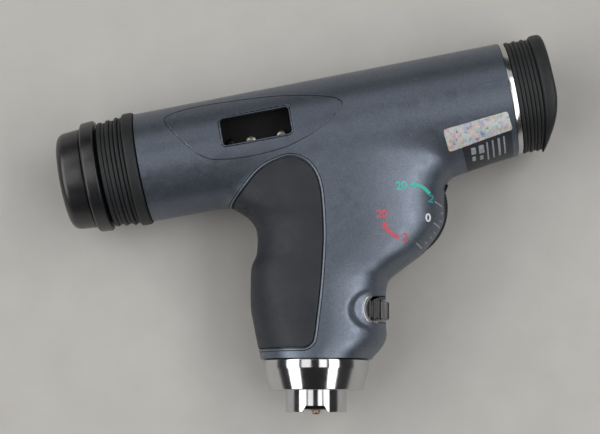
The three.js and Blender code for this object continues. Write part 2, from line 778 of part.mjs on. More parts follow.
function lampPieces() {
  const lampEnd = bayonetEnd + 0.6;
  const contactSeat = lampEnd + 1.5;
  const body = turned([
    [contactRadius + fitGap, lampEnd],
    [lampRadius - 0.6, lampEnd],
    [lampRadius, lampEnd + 0.8],
    [lampRadius, lampTop],
    [0, lampTop],
    [0, contactSeat],
    [contactRadius + fitGap, contactSeat],
  ], 'y', smallSteps);
  const contact = turned([
    [0, bayonetEnd - 0.9],
    [contactRadius - 0.7, bayonetEnd - 0.8],
    [contactRadius, bayonetEnd - 0.1],
    [contactRadius, contactSeat - fitGap],
    [0, contactSeat - fitGap],
  ], 'y', smallSteps);
  const bulb = [[0, lampTop + fitGap], [bulbRadius, lampTop + fitGap]];
  const arcSteps = 3;
  for (let i = 0; i <= arcSteps; i += 1) {
    const angle = (i / arcSteps) * Math.PI / 2;
    bulb.push([bulbRadius * Math.cos(angle), bulbTop - bulbRadius * (1 - Math.sin(angle))]);
  }
  const sleeveRadius = bayonetBore - fitGap;
  const sleeve = ring('y', sleeveRadius, lampRadius + runGap, bayonetEnd + 1, sleeveTop, smallSteps);
  return {
    lamp_body: body,
    lamp_contact: contact,
    lamp_bulb: turned(bulb, 'y', smallSteps),
    lamp_sleeve: sleeve,
  };
}

// ---------------------------------------------------------------- materials

function finish(colour, roughness, metalness) {
  return () => new THREE.MeshStandardMaterial({ color: colour, roughness, metalness });
}

const finishes = {
  housing: finish(0x5f6872, 0.42, 0.55),
  pad: finish(0x33353a, 0.75, 0),
  rubber: finish(0x141514, 0.8, 0),
  gloss: finish(0x0c0c0d, 0.2, 0),
  chrome: finish(0xd8dadd, 0.12, 1),
  steel: finish(0xb4b6b8, 0.35, 1),
  black: finish(0x17181a, 0.55, 0),
  glass: finish(0xcfe4ea, 0.05, 0),
  mirror: finish(0xe8ecee, 0.03, 1),
  green: finish(0x3f9d62, 0.1, 0),
  brass: finish(0xc9a04a, 0.3, 1),
  foil: finish(0xb9c0c8, 0.25, 0.8),
  label: finish(0x2c3036, 0.5, 0),
};

// ---------------------------------------------------------------- assembly

const head = new THREE.Group();
const barrel = new THREE.Group();
barrel.rotation.z = barrelTilt;
head.add(barrel);

function place(group, name, solid, look, position = [0, 0, 0]) {
  const mesh = new THREE.Mesh(geometryOf(solid), finishes[look]());
  mesh.name = name;
  mesh.position.set(...position);
  group.add(mesh);
}

const housing = housingPieces();
place(head, 'housing_near', housing.housing_near, 'housing');
place(head, 'housing_far', housing.housing_far, 'housing');
place(head, 'grip_pad', housing.grip_pad, 'pad');
place(head, 'side_panel_near', housing.side_panel_near, 'housing');
place(head, 'side_panel_far', housing.side_panel_far, 'housing');

const degrees = THREE.MathUtils.degToRad;
const foilLabel = labelSolid(housingRear - 22.3, housingRear - 1.9, degrees(-50), degrees(-28));
const ratingLabel = labelSolid(housingRear - 13.5, housingRear - 1.6, degrees(-88), degrees(-53));
place(barrel, 'foil_label', foilLabel, 'foil');
place(barrel, 'rating_label', ratingLabel, 'label');

place(barrel, 'chassis', chassis(), 'black');
place(barrel, 'screw_plate', screwPlate(), 'black');
windowScrews.forEach(([x, y], i) => {
  place(barrel, `window_screw_${i + 1}`, windowScrew(), 'steel', [x, y, 0]);
});
place(barrel, 'front_bumper', frontBumper(), 'rubber');
const noseRing = ring('x', noseRingRadius, chassisRadius + runGap, noseRingFront, noseRingRear);
place(barrel, 'nose_ring', noseRing, 'gloss');
place(barrel, 'nose_cap', noseCap(), 'gloss');
place(barrel, 'nose_lens', lens('x', 12.7, noseCapFront + 4.1, 2.2, 1.2, 1.6), 'glass');
const inBore = chassisBore - fitGap;
const objectiveRetainer = ring('x', inBore, 11, ...spanFrom(housingFront - 12.4, 2.2));
const trimRing = ring('x', trimRadius, chassisRadius + fitGap, trimFront, trimFront + trimWidth);
place(barrel, 'objective_lens', lens('x', inBore, housingFront - 6.9, 3, 3, 2), 'glass');
place(barrel, 'objective_retainer', objectiveRetainer, 'black');
place(barrel, 'rear_trim_ring', trimRing, 'chrome');
place(barrel, 'brow_rest', browRest(), 'rubber');
const eyepieceRetainer = ring('x', inBore, 10.8, ...spanFrom(housingRear - 0.2, 1.7));
place(barrel, 'eyepiece_lens', lens('x', inBore, housingRear - 3.1, 2.4, 1.8, 1), 'glass');
place(barrel, 'eyepiece_retainer', eyepieceRetainer, 'black');
place(barrel, 'mirror_holder', mirrorHolder(), 'black');
place(barrel, 'mirror', mirrorPlate(), 'mirror');
place(barrel, 'lens_carriage', lensCarriage(), 'black');
place(barrel, 'focus_lens', lens('x', focusLensRadius, carriageMiddle, 2, 1.2, 1.2), 'glass');
[-1, 1].forEach((side) => {
  const name = side > 0 ? 'guide_rod_near' : 'guide_rod_far';
  place(barrel, name, rod('x', rodRadius, ...rodSpan(), [0, side * rodOffset], 16), 'steel');
});

place(head, 'focus_wheel', focusWheel(), 'black', [wheelX, wheelY, 0]);
const wheelAxle = rod('z', wheelAxleRadius, -halfWheel - 6.7, halfWheel + 6.7, [wheelX, wheelY]);
place(head, 'wheel_axle', wheelAxle, 'steel');

place(head, 'light_frame', lightFrame(), 'black');
place(head, 'condenser_tube', condenserTube(), 'black');
place(head, 'condenser_lens', lens('y', columnLensRadius, upperPlate + 6, 2, 0.8, 1.2), 'glass');
place(head, 'projection_lens', lens('y', columnLensRadius, columnTop - 4, 2, 1, 0.8), 'glass');
place(head, 'aperture_dial', apertureDial(), 'black', [dialX, dialY, 0]);
place(head, 'red_free_filter', redFreeFilter(), 'green', [dialX, dialY, 0]);
const axleEnds = [lowerPlate + 0.65, upperPlate + plateThickness - 0.65];
place(head, 'aperture_axle', rod('y', dialAxleRadius, ...axleEnds, [dialX, 0]), 'steel');
place(head, 'detent_spring', detentSpring(), 'steel');

place(head, 'base_skirt', baseSkirt(), 'chrome');
place(head, 'bayonet_barrel', bayonetBarrel(), 'chrome');
const lamp = lampPieces();
place(head, 'lamp_sleeve', lamp.lamp_sleeve, 'black');
place(head, 'lamp_body', lamp.lamp_body, 'steel');
place(head, 'lamp_bulb', lamp.lamp_bulb, 'glass');
place(head, 'lamp_contact', lamp.lamp_contact, 'brass');

// The part's origin is the middle of its underside as it lies.
head.updateMatrixWorld(true);
const extent = new THREE.Box3().setFromObject(head, true);
const middle = extent.getCenter(new THREE.Vector3());
head.position.set(-middle.x, -middle.y, -extent.min.z);

const part = new THREE.Group();
part.add(head);

export default part;
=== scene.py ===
"""Looks for the wide-view ophthalmoscope head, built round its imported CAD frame.

Places are worked out in the instrument frame in millimetres: the neck axis is Y, the viewing axis
crosses it at the origin and is tilted in the XY plane, and Z is across the instrument. The barrel
frame is the same origin turned by the tilt: s along the viewing axis, n across it.
"""
import math

import bmesh
import bpy
import numpy as np
from mathutils import Matrix, Vector


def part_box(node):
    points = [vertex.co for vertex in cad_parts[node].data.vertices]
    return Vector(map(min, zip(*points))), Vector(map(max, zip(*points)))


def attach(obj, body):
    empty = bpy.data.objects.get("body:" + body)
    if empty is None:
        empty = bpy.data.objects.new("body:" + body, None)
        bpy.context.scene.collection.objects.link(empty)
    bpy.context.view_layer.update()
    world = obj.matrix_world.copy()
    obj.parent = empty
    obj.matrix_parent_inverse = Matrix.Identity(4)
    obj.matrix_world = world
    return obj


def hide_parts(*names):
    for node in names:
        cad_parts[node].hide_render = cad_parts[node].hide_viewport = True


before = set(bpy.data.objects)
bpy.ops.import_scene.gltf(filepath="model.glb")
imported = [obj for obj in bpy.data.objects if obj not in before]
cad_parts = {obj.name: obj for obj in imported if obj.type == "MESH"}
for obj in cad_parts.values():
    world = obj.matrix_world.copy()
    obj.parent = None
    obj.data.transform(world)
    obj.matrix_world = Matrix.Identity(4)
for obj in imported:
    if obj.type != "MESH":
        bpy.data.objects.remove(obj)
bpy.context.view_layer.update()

# ------------------------------------------------------------------ frames

MM = 0.001
TILT = math.radians(10.4)
COS, SIN = math.cos(TILT), math.sin(TILT)
NECK_LENGTH = 70.3
BAYONET_END = -86.8

skirt_low, skirt_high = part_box("base_skirt")
ORIGIN = np.array([
    (skirt_low.x + skirt_high.x) / 2,
    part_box("bayonet_barrel")[0].y - BAYONET_END * MM,
    (skirt_low.z + skirt_high.z) / 2,
])


def to_row(points):
    """Instrument millimetres to row metres."""
    return np.asarray(points, float) * MM + ORIGIN


def to_barrel(x, y):
    """Instrument X and Y to the barrel frame's s and n."""
    return x * COS + y * SIN, -x * SIN + y * COS


def from_barrel(s, n):
    """The barrel frame's s and n to instrument X and Y."""
    return s * COS - n * SIN, s * SIN + n * COS


# ------------------------------------------------------------------ dimensions, mm

HOUSING_FRONT, HOUSING_REAR = -55.1, 61.1
FRONT_RADIUS, REAR_RADIUS = 17.15, 17.8
WALL = 2.4
SKIN = 1.25
SKIN_FLOOR = SKIN - 0.15
BLEND = 5.0
NECK_TOP = 9.0
FAR = 60.0
SLOT_GAP = 0.4
ON_FIELD = 0.03
WHEEL_X, WHEEL_Y, WHEEL_RADIUS, WHEEL_HALF = 25.3, -23.3, 16.0, 2.5
DIAL_X, DIAL_Y, DIAL_RADIUS, DIAL_HALF = 10.0, -55.3, 12.8, 2.95
WINDOW = (-17.5, 4.1, 22.0, 9.2, 1.2)
SKIRT_TOP = -70.6
SKIRT_END = -80.0

# neck edges as [share of the neck length down from the viewing axis, X]
FRONT_EDGE = [
    (-0.14, -20), (-0.06, -28), (0.03, -35), (0.21, -31.5), (0.317, -26.7), (0.388, -20.1), (0.465, -18.2),
    (0.54, -18.5), (0.643, -20.4), (0.737, -20.4), (0.84, -19.5), (1, -17.3), (1.06, -16.6),
]
REAR_EDGE = [
    (-0.14, 30), (-0.06, 39), (0.03, 43), (0.12, 43.4), (0.16, 42.9), (0.19, 42), (0.21, 41.3),
    (0.235, 40.7), (0.27, 40.4), (0.3, 40.3), (0.356, 40.45), (0.434, 38.9), (0.5, 35.6), (0.533, 33.5),
    (0.568, 30.3), (0.6, 27.1), (0.62, 25.6), (0.705, 21.9), (0.797, 21.6), (0.885, 22.1),
    (0.947, 20.6), (1, 17.3), (1.06, 15.6),
]
HALF_DEPTH = [
    (-0.14, 6), (-0.06, 13), (0.03, 15.8), (0.31, 16.3), (0.57, 15.5), (0.78, 15.8), (1, 17.0), (1.06, 17.2),
]
ROUNDNESS = [(-0.14, 2.4), (0.1, 2.6), (0.8, 2.5), (1, 2.0), (1.06, 2.0)]

PAD_OUTLINE = [
    (0.7, -65.4), (1.9, -57), (3.2, -44), (3.7, -29), (2, -15), (-1.5, -9.8), (-6.6, -7.7),
    (-12, -8.9), (-17.4, -12), (-23.3, -18.3), (-26.9, -22.4),
]
PANEL_OUTLINE = [
    (-45.4, 11.9), (-44, 13.2), (-40, 14.2), (-33.7, 14.6), (-22.6, 14.05), (-11.6, 13.1), (-2.4, 11.45),
    (5.6, 9.35), (8.9, 7.9), (10, 6.4), (9.5, 4.9), (7.6, 3.2), (3.5, 0.5), (-1.6, -2), (-7.1, -3.75),
    (-12, -4.6), (-25, -4.9), (-34, -3.2), (-39.5, 2),
]


# ------------------------------------------------------------------ curves

def catmull(points, steps, closed=False):
    """Centripetal Catmull-Rom curve through the points."""
    p = np.asarray(points, float)
    if closed:
        p = np.vstack([p[-1], p, p[:2]])
    else:
        p = np.vstack([2 * p[0] - p[1], p, 2 * p[-1] - p[-2]])
    out = []
    for a, b, c, d in zip(p[:-3], p[1:-2], p[2:-1], p[3:]):
        t0 = 0.0
        t1 = t0 + np.linalg.norm(b - a) ** 0.5
        t2 = t1 + np.linalg.norm(c - b) ** 0.5
        t3 = t2 + np.linalg.norm(d - c) ** 0.5
        for t in np.linspace(t1, t2, steps, endpoint=False):
            ab = (t1 - t) / (t1 - t0) * a + (t - t0) / (t1 - t0) * b
            bc = (t2 - t) / (t2 - t1) * b + (t - t1) / (t2 - t1) * c
            cd = (t3 - t) / (t3 - t2) * c + (t - t2) / (t3 - t2) * d
            abc = (t2 - t) / (t2 - t0) * ab + (t - t0) / (t2 - t0) * bc
            bcd = (t3 - t) / (t3 - t1) * bc + (t - t1) / (t3 - t1) * cd
            out.append((t2 - t) / (t2 - t1) * abc + (t - t1) / (t2 - t1) * bcd)
    if not closed:
        out.append(p[-2])
    return np.array(out)


EDGE_STEP = 0.1


def edge_table(points, spread=1.2):
    """The edge smoothed over Y: evenly spaced Y in ascending order, and the value at each."""
    curve = catmull(points, steps=16)
    y = -curve[:, 0] * NECK_LENGTH
    order = np.argsort(y)
    grid = np.arange(y.min(), y.max(), EDGE_STEP)
    value = np.interp(grid, y[order], curve[order, 1])
    reach = int(4 * spread / EDGE_STEP)
    kernel = np.exp(-0.5 * (np.arange(-reach, reach + 1) * EDGE_STEP / spread) ** 2)
    kernel /= kernel.sum()
    padded = np.concatenate([np.full(reach, value[0]), value, np.full(reach, value[-1])])
    return grid, np.convolve(padded, kernel, mode="valid")


FRONT_TABLE = edge_table(FRONT_EDGE)
REAR_TABLE = edge_table(REAR_EDGE, 0.9)
DEPTH_TABLE = edge_table(HALF_DEPTH, 2.5)
ROUND_TABLE = edge_table(ROUNDNESS, 2.5)


def arc(cx, cy, radius, start, end, steps):
    angles = np.radians(np.linspace(start, end, steps + 1))
    return [(cx + radius * math.cos(a), cy + radius * math.sin(a)) for a in angles]


def rounded_rectangle(cx, cy, width, height, corner):
    across, up = width / 2 - corner, height / 2 - corner
    out = []
    for quarter, (i, j) in enumerate([(1, 1), (-1, 1), (-1, -1), (1, -1)]):
        out += arc(cx + i * across, cy + j * up, corner, 90 * quarter, 90 * quarter + 90, 6)
    return np.array(out)


LONGEST_SHARE = 0.45
SOFT_STEPS = 4


def soften(profile, radius):
    """Rounds every corner of a closed profile by up to the radius, and by no more than a share of its sides."""
    p = np.asarray(profile, float)
    out = []
    count = len(p)
    for i in range(count):
        a, b, c = p[i - 1], p[i], p[(i + 1) % count]
        before, after = a - b, c - b
        lb, la = np.linalg.norm(before), np.linalg.norm(after)
        r = radius[i] if hasattr(radius, "__len__") else radius
        r = min(r, LONGEST_SHARE * lb, LONGEST_SHARE * la)
        if r < 1e-4 or b[0] < 1e-6:
            out.append(b)
            continue
        start, end = b + before / lb * r, b + after / la * r
        for t in np.linspace(0, 1, SOFT_STEPS + 1):
            out.append((1 - t) ** 2 * start + 2 * t * (1 - t) * b + t * t * end)
    return np.array(out)


def rib(start, end, base, crest, power, steps):
    """Rounded rib between two places, as [radius, along]."""
    out = []
    for t in 0.5 - 0.5 * np.cos(np.linspace(0, math.pi, steps + 1)):
        rise = (1 - abs(2 * t - 1) ** power) ** (1 / power)
        out.append((base + (crest - base) * rise, start + (end - start) * t))
    return out


# ------------------------------------------------------------------ signed fields

def polygon_distance(points, polygon):
    """Signed distance to a closed polygon, negative inside."""
    a = polygon
    b = np.roll(polygon, -1, axis=0)
    e = b - a
    length = (e ** 2).sum(1)
    result = np.empty(len(points))
    batch = 40000
    for lo in range(0, len(points), batch):
        p = points[lo:lo + batch]
        w = p[:, None, :] - a[None]
        t = np.clip((w * e[None]).sum(2) / length[None], 0, 1)
        d2 = ((w - t[..., None] * e[None]) ** 2).sum(2).min(1)
        above = p[:, None, 1] >= a[None, :, 1]
        below = p[:, None, 1] < b[None, :, 1]
        side = e[None, :, 0] * w[:, :, 1] - e[None, :, 1] * w[:, :, 0]
        winding = (above & below & (side > 0)).sum(1) - (~above & ~below & (side < 0)).sum(1)
        result[lo:lo + batch] = np.sqrt(d2) * np.where(winding != 0, -1, 1)
    return result


class Outline:
    """Signed distance to an outline, read from a fine map."""

    def __init__(self, polygon, margin, step):
        self.polygon = np.asarray(polygon, float)
        self.low = self.polygon.min(0) - margin
        size = np.ceil((self.polygon.max(0) + margin - self.low) / step).astype(int) + 1
        self.step, self.size = step, size
        gx, gy = np.meshgrid(
            self.low[0] + np.arange(size[0]) * step, self.low[1] + np.arange(size[1]) * step, indexing="ij"
        )
        self.map = polygon_distance(np.column_stack([gx.ravel(), gy.ravel()]), self.polygon).reshape(size)

    def __call__(self, x, y):
        u = np.clip((x - self.low[0]) / self.step, 0, self.size[0] - 1.001)
        v = np.clip((y - self.low[1]) / self.step, 0, self.size[1] - 1.001)
        i, j = u.astype(int), v.astype(int)
        fu, fv = u - i, v - j
        m = self.map
        return (
            m[i, j] * (1 - fu) * (1 - fv) + m[i + 1, j] * fu * (1 - fv)
            + m[i, j + 1] * (1 - fu) * fv + m[i + 1, j + 1] * fu * fv
        )


def smooth_min(a, b, k):
    h = np.maximum(k - np.abs(a - b), 0) / k
    return np.minimum(a, b) - h ** 3 * k / 6


def smooth_max(a, b, k):
    return -smooth_min(-a, -b, k)


FLARE = np.array([(12, 0), (30, 2.3), (41, 2.9), (44.5, 2.55), (48, 2.0), (52, 1.35), (56, 0.8), (61.1, 0.3)])


def barrel_radius(s, below):
    """The barrel's radius with its flare towards the neck; below is the sine of the angle down."""
    share = (s - HOUSING_FRONT) / (HOUSING_REAR - HOUSING_FRONT)
    flare = np.interp(s, FLARE[:, 0], FLARE[:, 1]) * np.clip(below, 0, 1) ** 4
    return FRONT_RADIUS + (REAR_RADIUS - FRONT_RADIUS) * share + flare


def barrel_field(x, y, z):
    """Distance from the barrel's surface."""
    s, n = to_barrel(x, y)
    reach = np.sqrt(n * n + z * z + 1e-9)
    return reach - barrel_radius(s, -n / reach)


def neck_field(x, y, z):
    """Near distance from the neck: a superellipse section between its edges, at each Y."""
    front, rear = np.interp(y, *FRONT_TABLE), np.interp(y, *REAR_TABLE)
    depth, p = np.interp(y, *DEPTH_TABLE), np.interp(y, *ROUND_TABLE)
    centre, half = (front + rear) / 2, (rear - front) / 2
    dx = np.abs(x - centre) / half + 1e-4
    dz = np.abs(z) / depth + 1e-4
    g = (dx ** p + dz ** p) ** (1 / p)
    slope = np.hypot((dx / g) ** (p - 1) / half, (dz / g) ** (p - 1) / depth)
    return np.maximum((g - 1) / slope, y - NECK_TOP)


SCOOP_X, SCOOP_Z, SCOOP_SLOPE, SCOOP_RADIUS = 10.1, 14.9, math.radians(37), 11.0
SCOOP_FLOOR = DIAL_RADIUS + 0.55


def scoop_field(x, y, z):
    """The thumb hollow at the dial: a round groove sloping down to it, kept outside the dial's own curve."""
    height = (np.abs(z) - SCOOP_Z) * math.cos(SCOOP_SLOPE) + (x - SCOOP_X) * math.sin(SCOOP_SLOPE)
    groove = np.hypot(y - DIAL_Y, np.minimum(height - SCOOP_RADIUS, 0)) - SCOOP_RADIUS
    return smooth_max(SCOOP_FLOOR - np.hypot(x - DIAL_X, z), groove, 0.5)


def form(x, y, z):
    """The outer form of the housing, with the thumb scoops; negative inside."""
    body = smooth_min(barrel_field(x, y, z), neck_field(x, y, z), BLEND)
    return smooth_max(body, -scoop_field(x, y, z), 0.6)


GRADIENT_STEP = 0.02


def gradient(field, p):
    out = np.empty_like(p)
    for axis in range(3):
        step = np.zeros(3)
        step[axis] = GRADIENT_STEP
        hi, lo = p + step, p - step
        out[:, axis] = (field(*hi.T) - field(*lo.T)) / (2 * GRADIENT_STEP)
    return out


CORNERS = np.array([(i, j, k) for i in (0, 1) for j in (0, 1) for k in (0, 1)])


COARSE = 4
SEARCH_MARGIN = 0.4


def of_cells(corner, count):
    """One corner of every cell, in a grid of that many points."""
    return tuple(slice(d, n - 1 + d) for d, n in zip(corner, count))


def sampled(field, low, high, step):
    """The field over a grid: exact near its zero surface, and one value per coarse block elsewhere."""
    count = (np.ceil((high - low) / (step * COARSE)).astype(int)) * COARSE + 1
    blocks = (count - 1) // COARSE

    def spread(coarse):
        for axis in range(3):
            coarse = np.repeat(coarse, COARSE, axis)
        return coarse

    centres = [low[a] + (np.arange(blocks[a]) + 0.5) * step * COARSE for a in range(3)]
    grid = np.stack(np.meshgrid(*centres, indexing="ij"), -1).reshape(-1, 3)
    rough = field(*grid.T).reshape(blocks)
    near = spread(np.abs(rough) < step * COARSE * 1.3 + SEARCH_MARGIN)
    values = np.empty(count)
    values[:-1, :-1, :-1] = spread(rough)
    wanted = np.zeros(count, bool)
    for corner in CORNERS:
        wanted[of_cells(corner, count)] |= near
    values[wanted] = field(*(low + np.argwhere(wanted) * step).T)
    for face in (0, -1):
        values[face], values[:, face], values[:, :, face] = 1, 1, 1
    return values


def crossing_mean(values, cells):
    """Where the surface passes each cell: the mean of its crossings of the cell's edges."""
    at_corner = np.stack([values[tuple((cells + c).T)] for c in CORNERS], 1)
    total, hits = np.zeros((len(cells), 3)), np.zeros(len(cells))
    for a in range(8):
        for b in range(a + 1, 8):
            if np.abs(CORNERS[a] - CORNERS[b]).sum() != 1:
                continue
            va, vb = at_corner[:, a], at_corner[:, b]
            crossing = (va < 0) != (vb < 0)
            t = np.where(crossing, va / np.where(va == vb, 1, va - vb), 0)
            total += crossing[:, None] * (CORNERS[a] + t[:, None] * (CORNERS[b] - CORNERS[a]))
            hits += crossing
    return total / hits[:, None]


def quads_between(inside, number):
    """A quad over the four cells round each grid edge that the surface crosses, facing outwards."""
    quads = []
    for axis in range(3):
        lo = [slice(1, -1)] * 3
        lo[axis] = slice(0, -1)
        hi = list(lo)
        hi[axis] = slice(1, None)
        first, second = inside[tuple(lo)], inside[tuple(hi)]
        u, v = [(1, 2), (2, 0), (0, 1)][axis]
        for flip, change in ((False, first & ~second), (True, ~first & second)):
            base = np.argwhere(change)
            base[:, [u, v]] += 1
            ring = []
            for du, dv in ((-1, -1), (0, -1), (0, 0), (-1, 0)):
                cell = base.copy()
                cell[:, u] += du
                cell[:, v] += dv
                ring.append(number[tuple(cell.T)])
            quad = np.stack(ring, 1)
            quads.append(quad[:, ::-1] if flip else quad)
    return np.concatenate(quads)


def surface(field, low, high, step):
    """Vertices and quads of the field's zero surface inside a box."""
    low, high = np.array(low, float), np.array(high, float)
    values = sampled(field, low, high, step)
    inside = values < 0
    corners_inside = sum(inside[of_cells(corner, inside.shape)].astype(int) for corner in CORNERS)
    mixed = (corners_inside > 0) & (corners_inside < 8)
    cells = np.argwhere(mixed)
    number = np.full(mixed.shape, -1)
    number[mixed] = np.arange(len(cells))
    verts = low + (cells + crossing_mean(values, cells)) * step
    settle(field, verts, step)
    return verts, quads_between(inside, number)


SETTLE_ROUNDS = 4


def settle(field, verts, reach):
    """Moves points onto the field's zero surface, if they're near it."""
    start = verts.copy()
    near = np.abs(field(*verts.T)) < reach
    for _ in range(SETTLE_ROUNDS):
        p = verts[near]
        value, slope = field(*p.T), gradient(field, p)
        p = p - slope * (value / np.maximum((slope ** 2).sum(1), 0.05))[:, None]
        shift = p - start[near]
        length = np.linalg.norm(shift, axis=1, keepdims=True)
        verts[near] = start[near] + shift * np.minimum(1, reach / np.maximum(length, 1e-9))


# ------------------------------------------------------------------ meshes

def make_mesh(name, verts, faces):
    mesh = bpy.data.meshes.new(name)
    faces = faces.tolist() if isinstance(faces, np.ndarray) else faces
    mesh.from_pydata(to_row(verts).tolist(), [], faces)
    mesh.validate()
    return mesh


def smooth(mesh, angle):
    """Smooth shading, with edges sharper than an angle in degrees left sharp."""
    mesh.shade_smooth()
    mesh.set_sharp_from_angle(angle=math.radians(angle))


def make_object(name, data, smooth_angle=None):
    obj = bpy.data.objects.new(name, data)
    bpy.context.scene.collection.objects.link(obj)
    if smooth_angle is not None:
        smooth(data, smooth_angle)
    return obj


def outward(mesh):
    """Faces turned outwards, on a closed mesh."""
    bm = bmesh.new()
    bm.from_mesh(mesh)
    bmesh.ops.recalc_face_normals(bm, faces=bm.faces)
    if bm.calc_volume(signed=True) < 0:
        bmesh.ops.reverse_faces(bm, faces=bm.faces)
    bm.to_mesh(mesh)
    bm.free()


def solid(name, verts, faces, smooth_angle=None):
    mesh = make_mesh(name, verts, faces)
    outward(mesh)
    return make_object(name, mesh, smooth_angle)


def prism(name, outline, low, high, barrel=False, axis="z", centre=(0, 0)):
    """A flat outline pulled along an axis; in the barrel frame if asked."""
    outline = np.asarray(outline, float)
    if barrel:
        outline = np.column_stack(from_barrel(outline[:, 0], outline[:, 1]))
    outline = outline + centre
    count = len(outline)
    verts = np.vstack([np.column_stack([outline, np.full(count, end)]) for end in (low, high)])
    if axis == "y":
        verts = verts[:, [0, 2, 1]]
    faces = [list(range(count)), list(range(2 * count - 1, count - 1, -1))]
    faces += [[i, (i + 1) % count, count + (i + 1) % count, count + i] for i in range(count)]
    return solid(name, verts, faces)


def circle(radius, steps=96):
    return np.array(arc(0, 0, radius, 0, 360, steps)[:-1])


def boolean(obj, tool, operation="DIFFERENCE"):
    """Applies one boolean with the tool to the object's mesh."""
    modifier = obj.modifiers.new("cut", "BOOLEAN")
    modifier.object = tool
    modifier.operation = operation
    modifier.solver = "MANIFOLD"
    graph = bpy.context.evaluated_depsgraph_get()
    mesh = bpy.data.meshes.new_from_object(obj.evaluated_get(graph))
    obj.modifiers.clear()
    old = obj.data
    obj.data = mesh
    mesh.name = old.name
    bpy.data.meshes.remove(old)


def drop(*objs):
    for obj in objs:
        mesh = obj.data
        bpy.data.objects.remove(obj)
        bpy.data.meshes.remove(mesh)


def cut(obj, *tools):
    """Takes the tools out of the object, and drops them."""
    for tool in tools:
        boolean(obj, tool)
    drop(*tools)


def gathered(items, key, width=1, kind=np.int32):
    """One attribute of every item, in rows of its width."""
    out = np.empty(len(items) * width, kind)
    items.foreach_get(key, out)
    return out if width == 1 else out.reshape(-1, width)


def read_mesh(mesh):
    return (gathered(mesh.vertices, "co", 3, np.float32).astype(float) - ORIGIN) / MM


def write_mesh(mesh, verts):
    mesh.vertices.foreach_set("co", to_row(verts).astype(np.float32).ravel())
    mesh.update()


def polish(obj, field, tolerance):
    """Smooth shading from the field's own slope where the mesh lies on its zero surface."""
    mesh = obj.data
    smooth(mesh, 30)
    verts = read_mesh(mesh)
    on = np.abs(field(*verts.T)) < tolerance
    slope = gradient(field, verts)
    slope /= np.maximum(np.linalg.norm(slope, axis=1, keepdims=True), 1e-9)
    loops = gathered(mesh.loops, "vertex_index")
    sizes = gathered(mesh.polygons, "loop_total")
    owner = np.repeat(np.arange(len(sizes)), sizes)
    starts = np.concatenate([[0], np.cumsum(sizes)[:-1]])
    all_on = np.logical_and.reduceat(on[loops], starts)[owner]
    face_normals = gathered(mesh.polygons, "normal", 3, np.float32)
    facing = (slope[loops] * face_normals[owner]).sum(1) > 0.5
    corner_normals = gathered(mesh.corner_normals, "vector", 3, np.float32)
    normals = np.where((all_on & facing)[:, None], slope[loops], corner_normals)
    mesh.normals_split_custom_set(normals.tolist())


def lathe(name, profile, axis="barrel", segments=192, centre=(0.0, 0.0), smooth_angle=32):
    """A piece turned from a closed profile of (radius, along)."""
    profile = np.asarray(profile, float)
    verts, rings = [], []
    angles = np.arange(segments) * 2 * math.pi / segments
    for radius, along in profile:
        if radius < 1e-6:
            rings.append([len(verts)])
            verts.append((0.0, along, 0.0))
            continue
        rings.append(list(range(len(verts), len(verts) + segments)))
        verts += [(radius * math.cos(a), along, radius * math.sin(a)) for a in angles]
    faces = []
    for a, b in zip(rings, rings[1:] + rings[:1]):
        if len(a) == 1 and len(b) == 1:
            continue
        for i in range(segments):
            j = (i + 1) % segments
            if len(a) == 1:
                faces.append([a[0], b[i], b[j]])
            elif len(b) == 1:
                faces.append([a[i], b[0], a[j]])
            else:
                faces.append([a[i], b[i], b[j], a[j]])
    v = np.array(verts)
    if axis == "barrel":
        x, y = from_barrel(v[:, 1], v[:, 0])
        v = np.column_stack([x, y, v[:, 2]])
    elif axis == "y":
        v = v + (centre[0], 0, centre[1])
    else:
        v = np.column_stack([v[:, 0] + centre[0], v[:, 2] + centre[1], v[:, 1]])
    return solid(name, v, faces, smooth_angle)


# ------------------------------------------------------------------ materials

def fill_ramp(ramp, stops):
    """Sets a colour ramp's stops, each a place and a grey or a colour."""
    elements = ramp.elements
    while len(elements) < len(stops):
        elements.new(0.5)
    for element, (at, colour) in zip(elements, stops):
        element.position = at
        element.color = (*colour, 1) if hasattr(colour, "__len__") else (colour, colour, colour, 1)


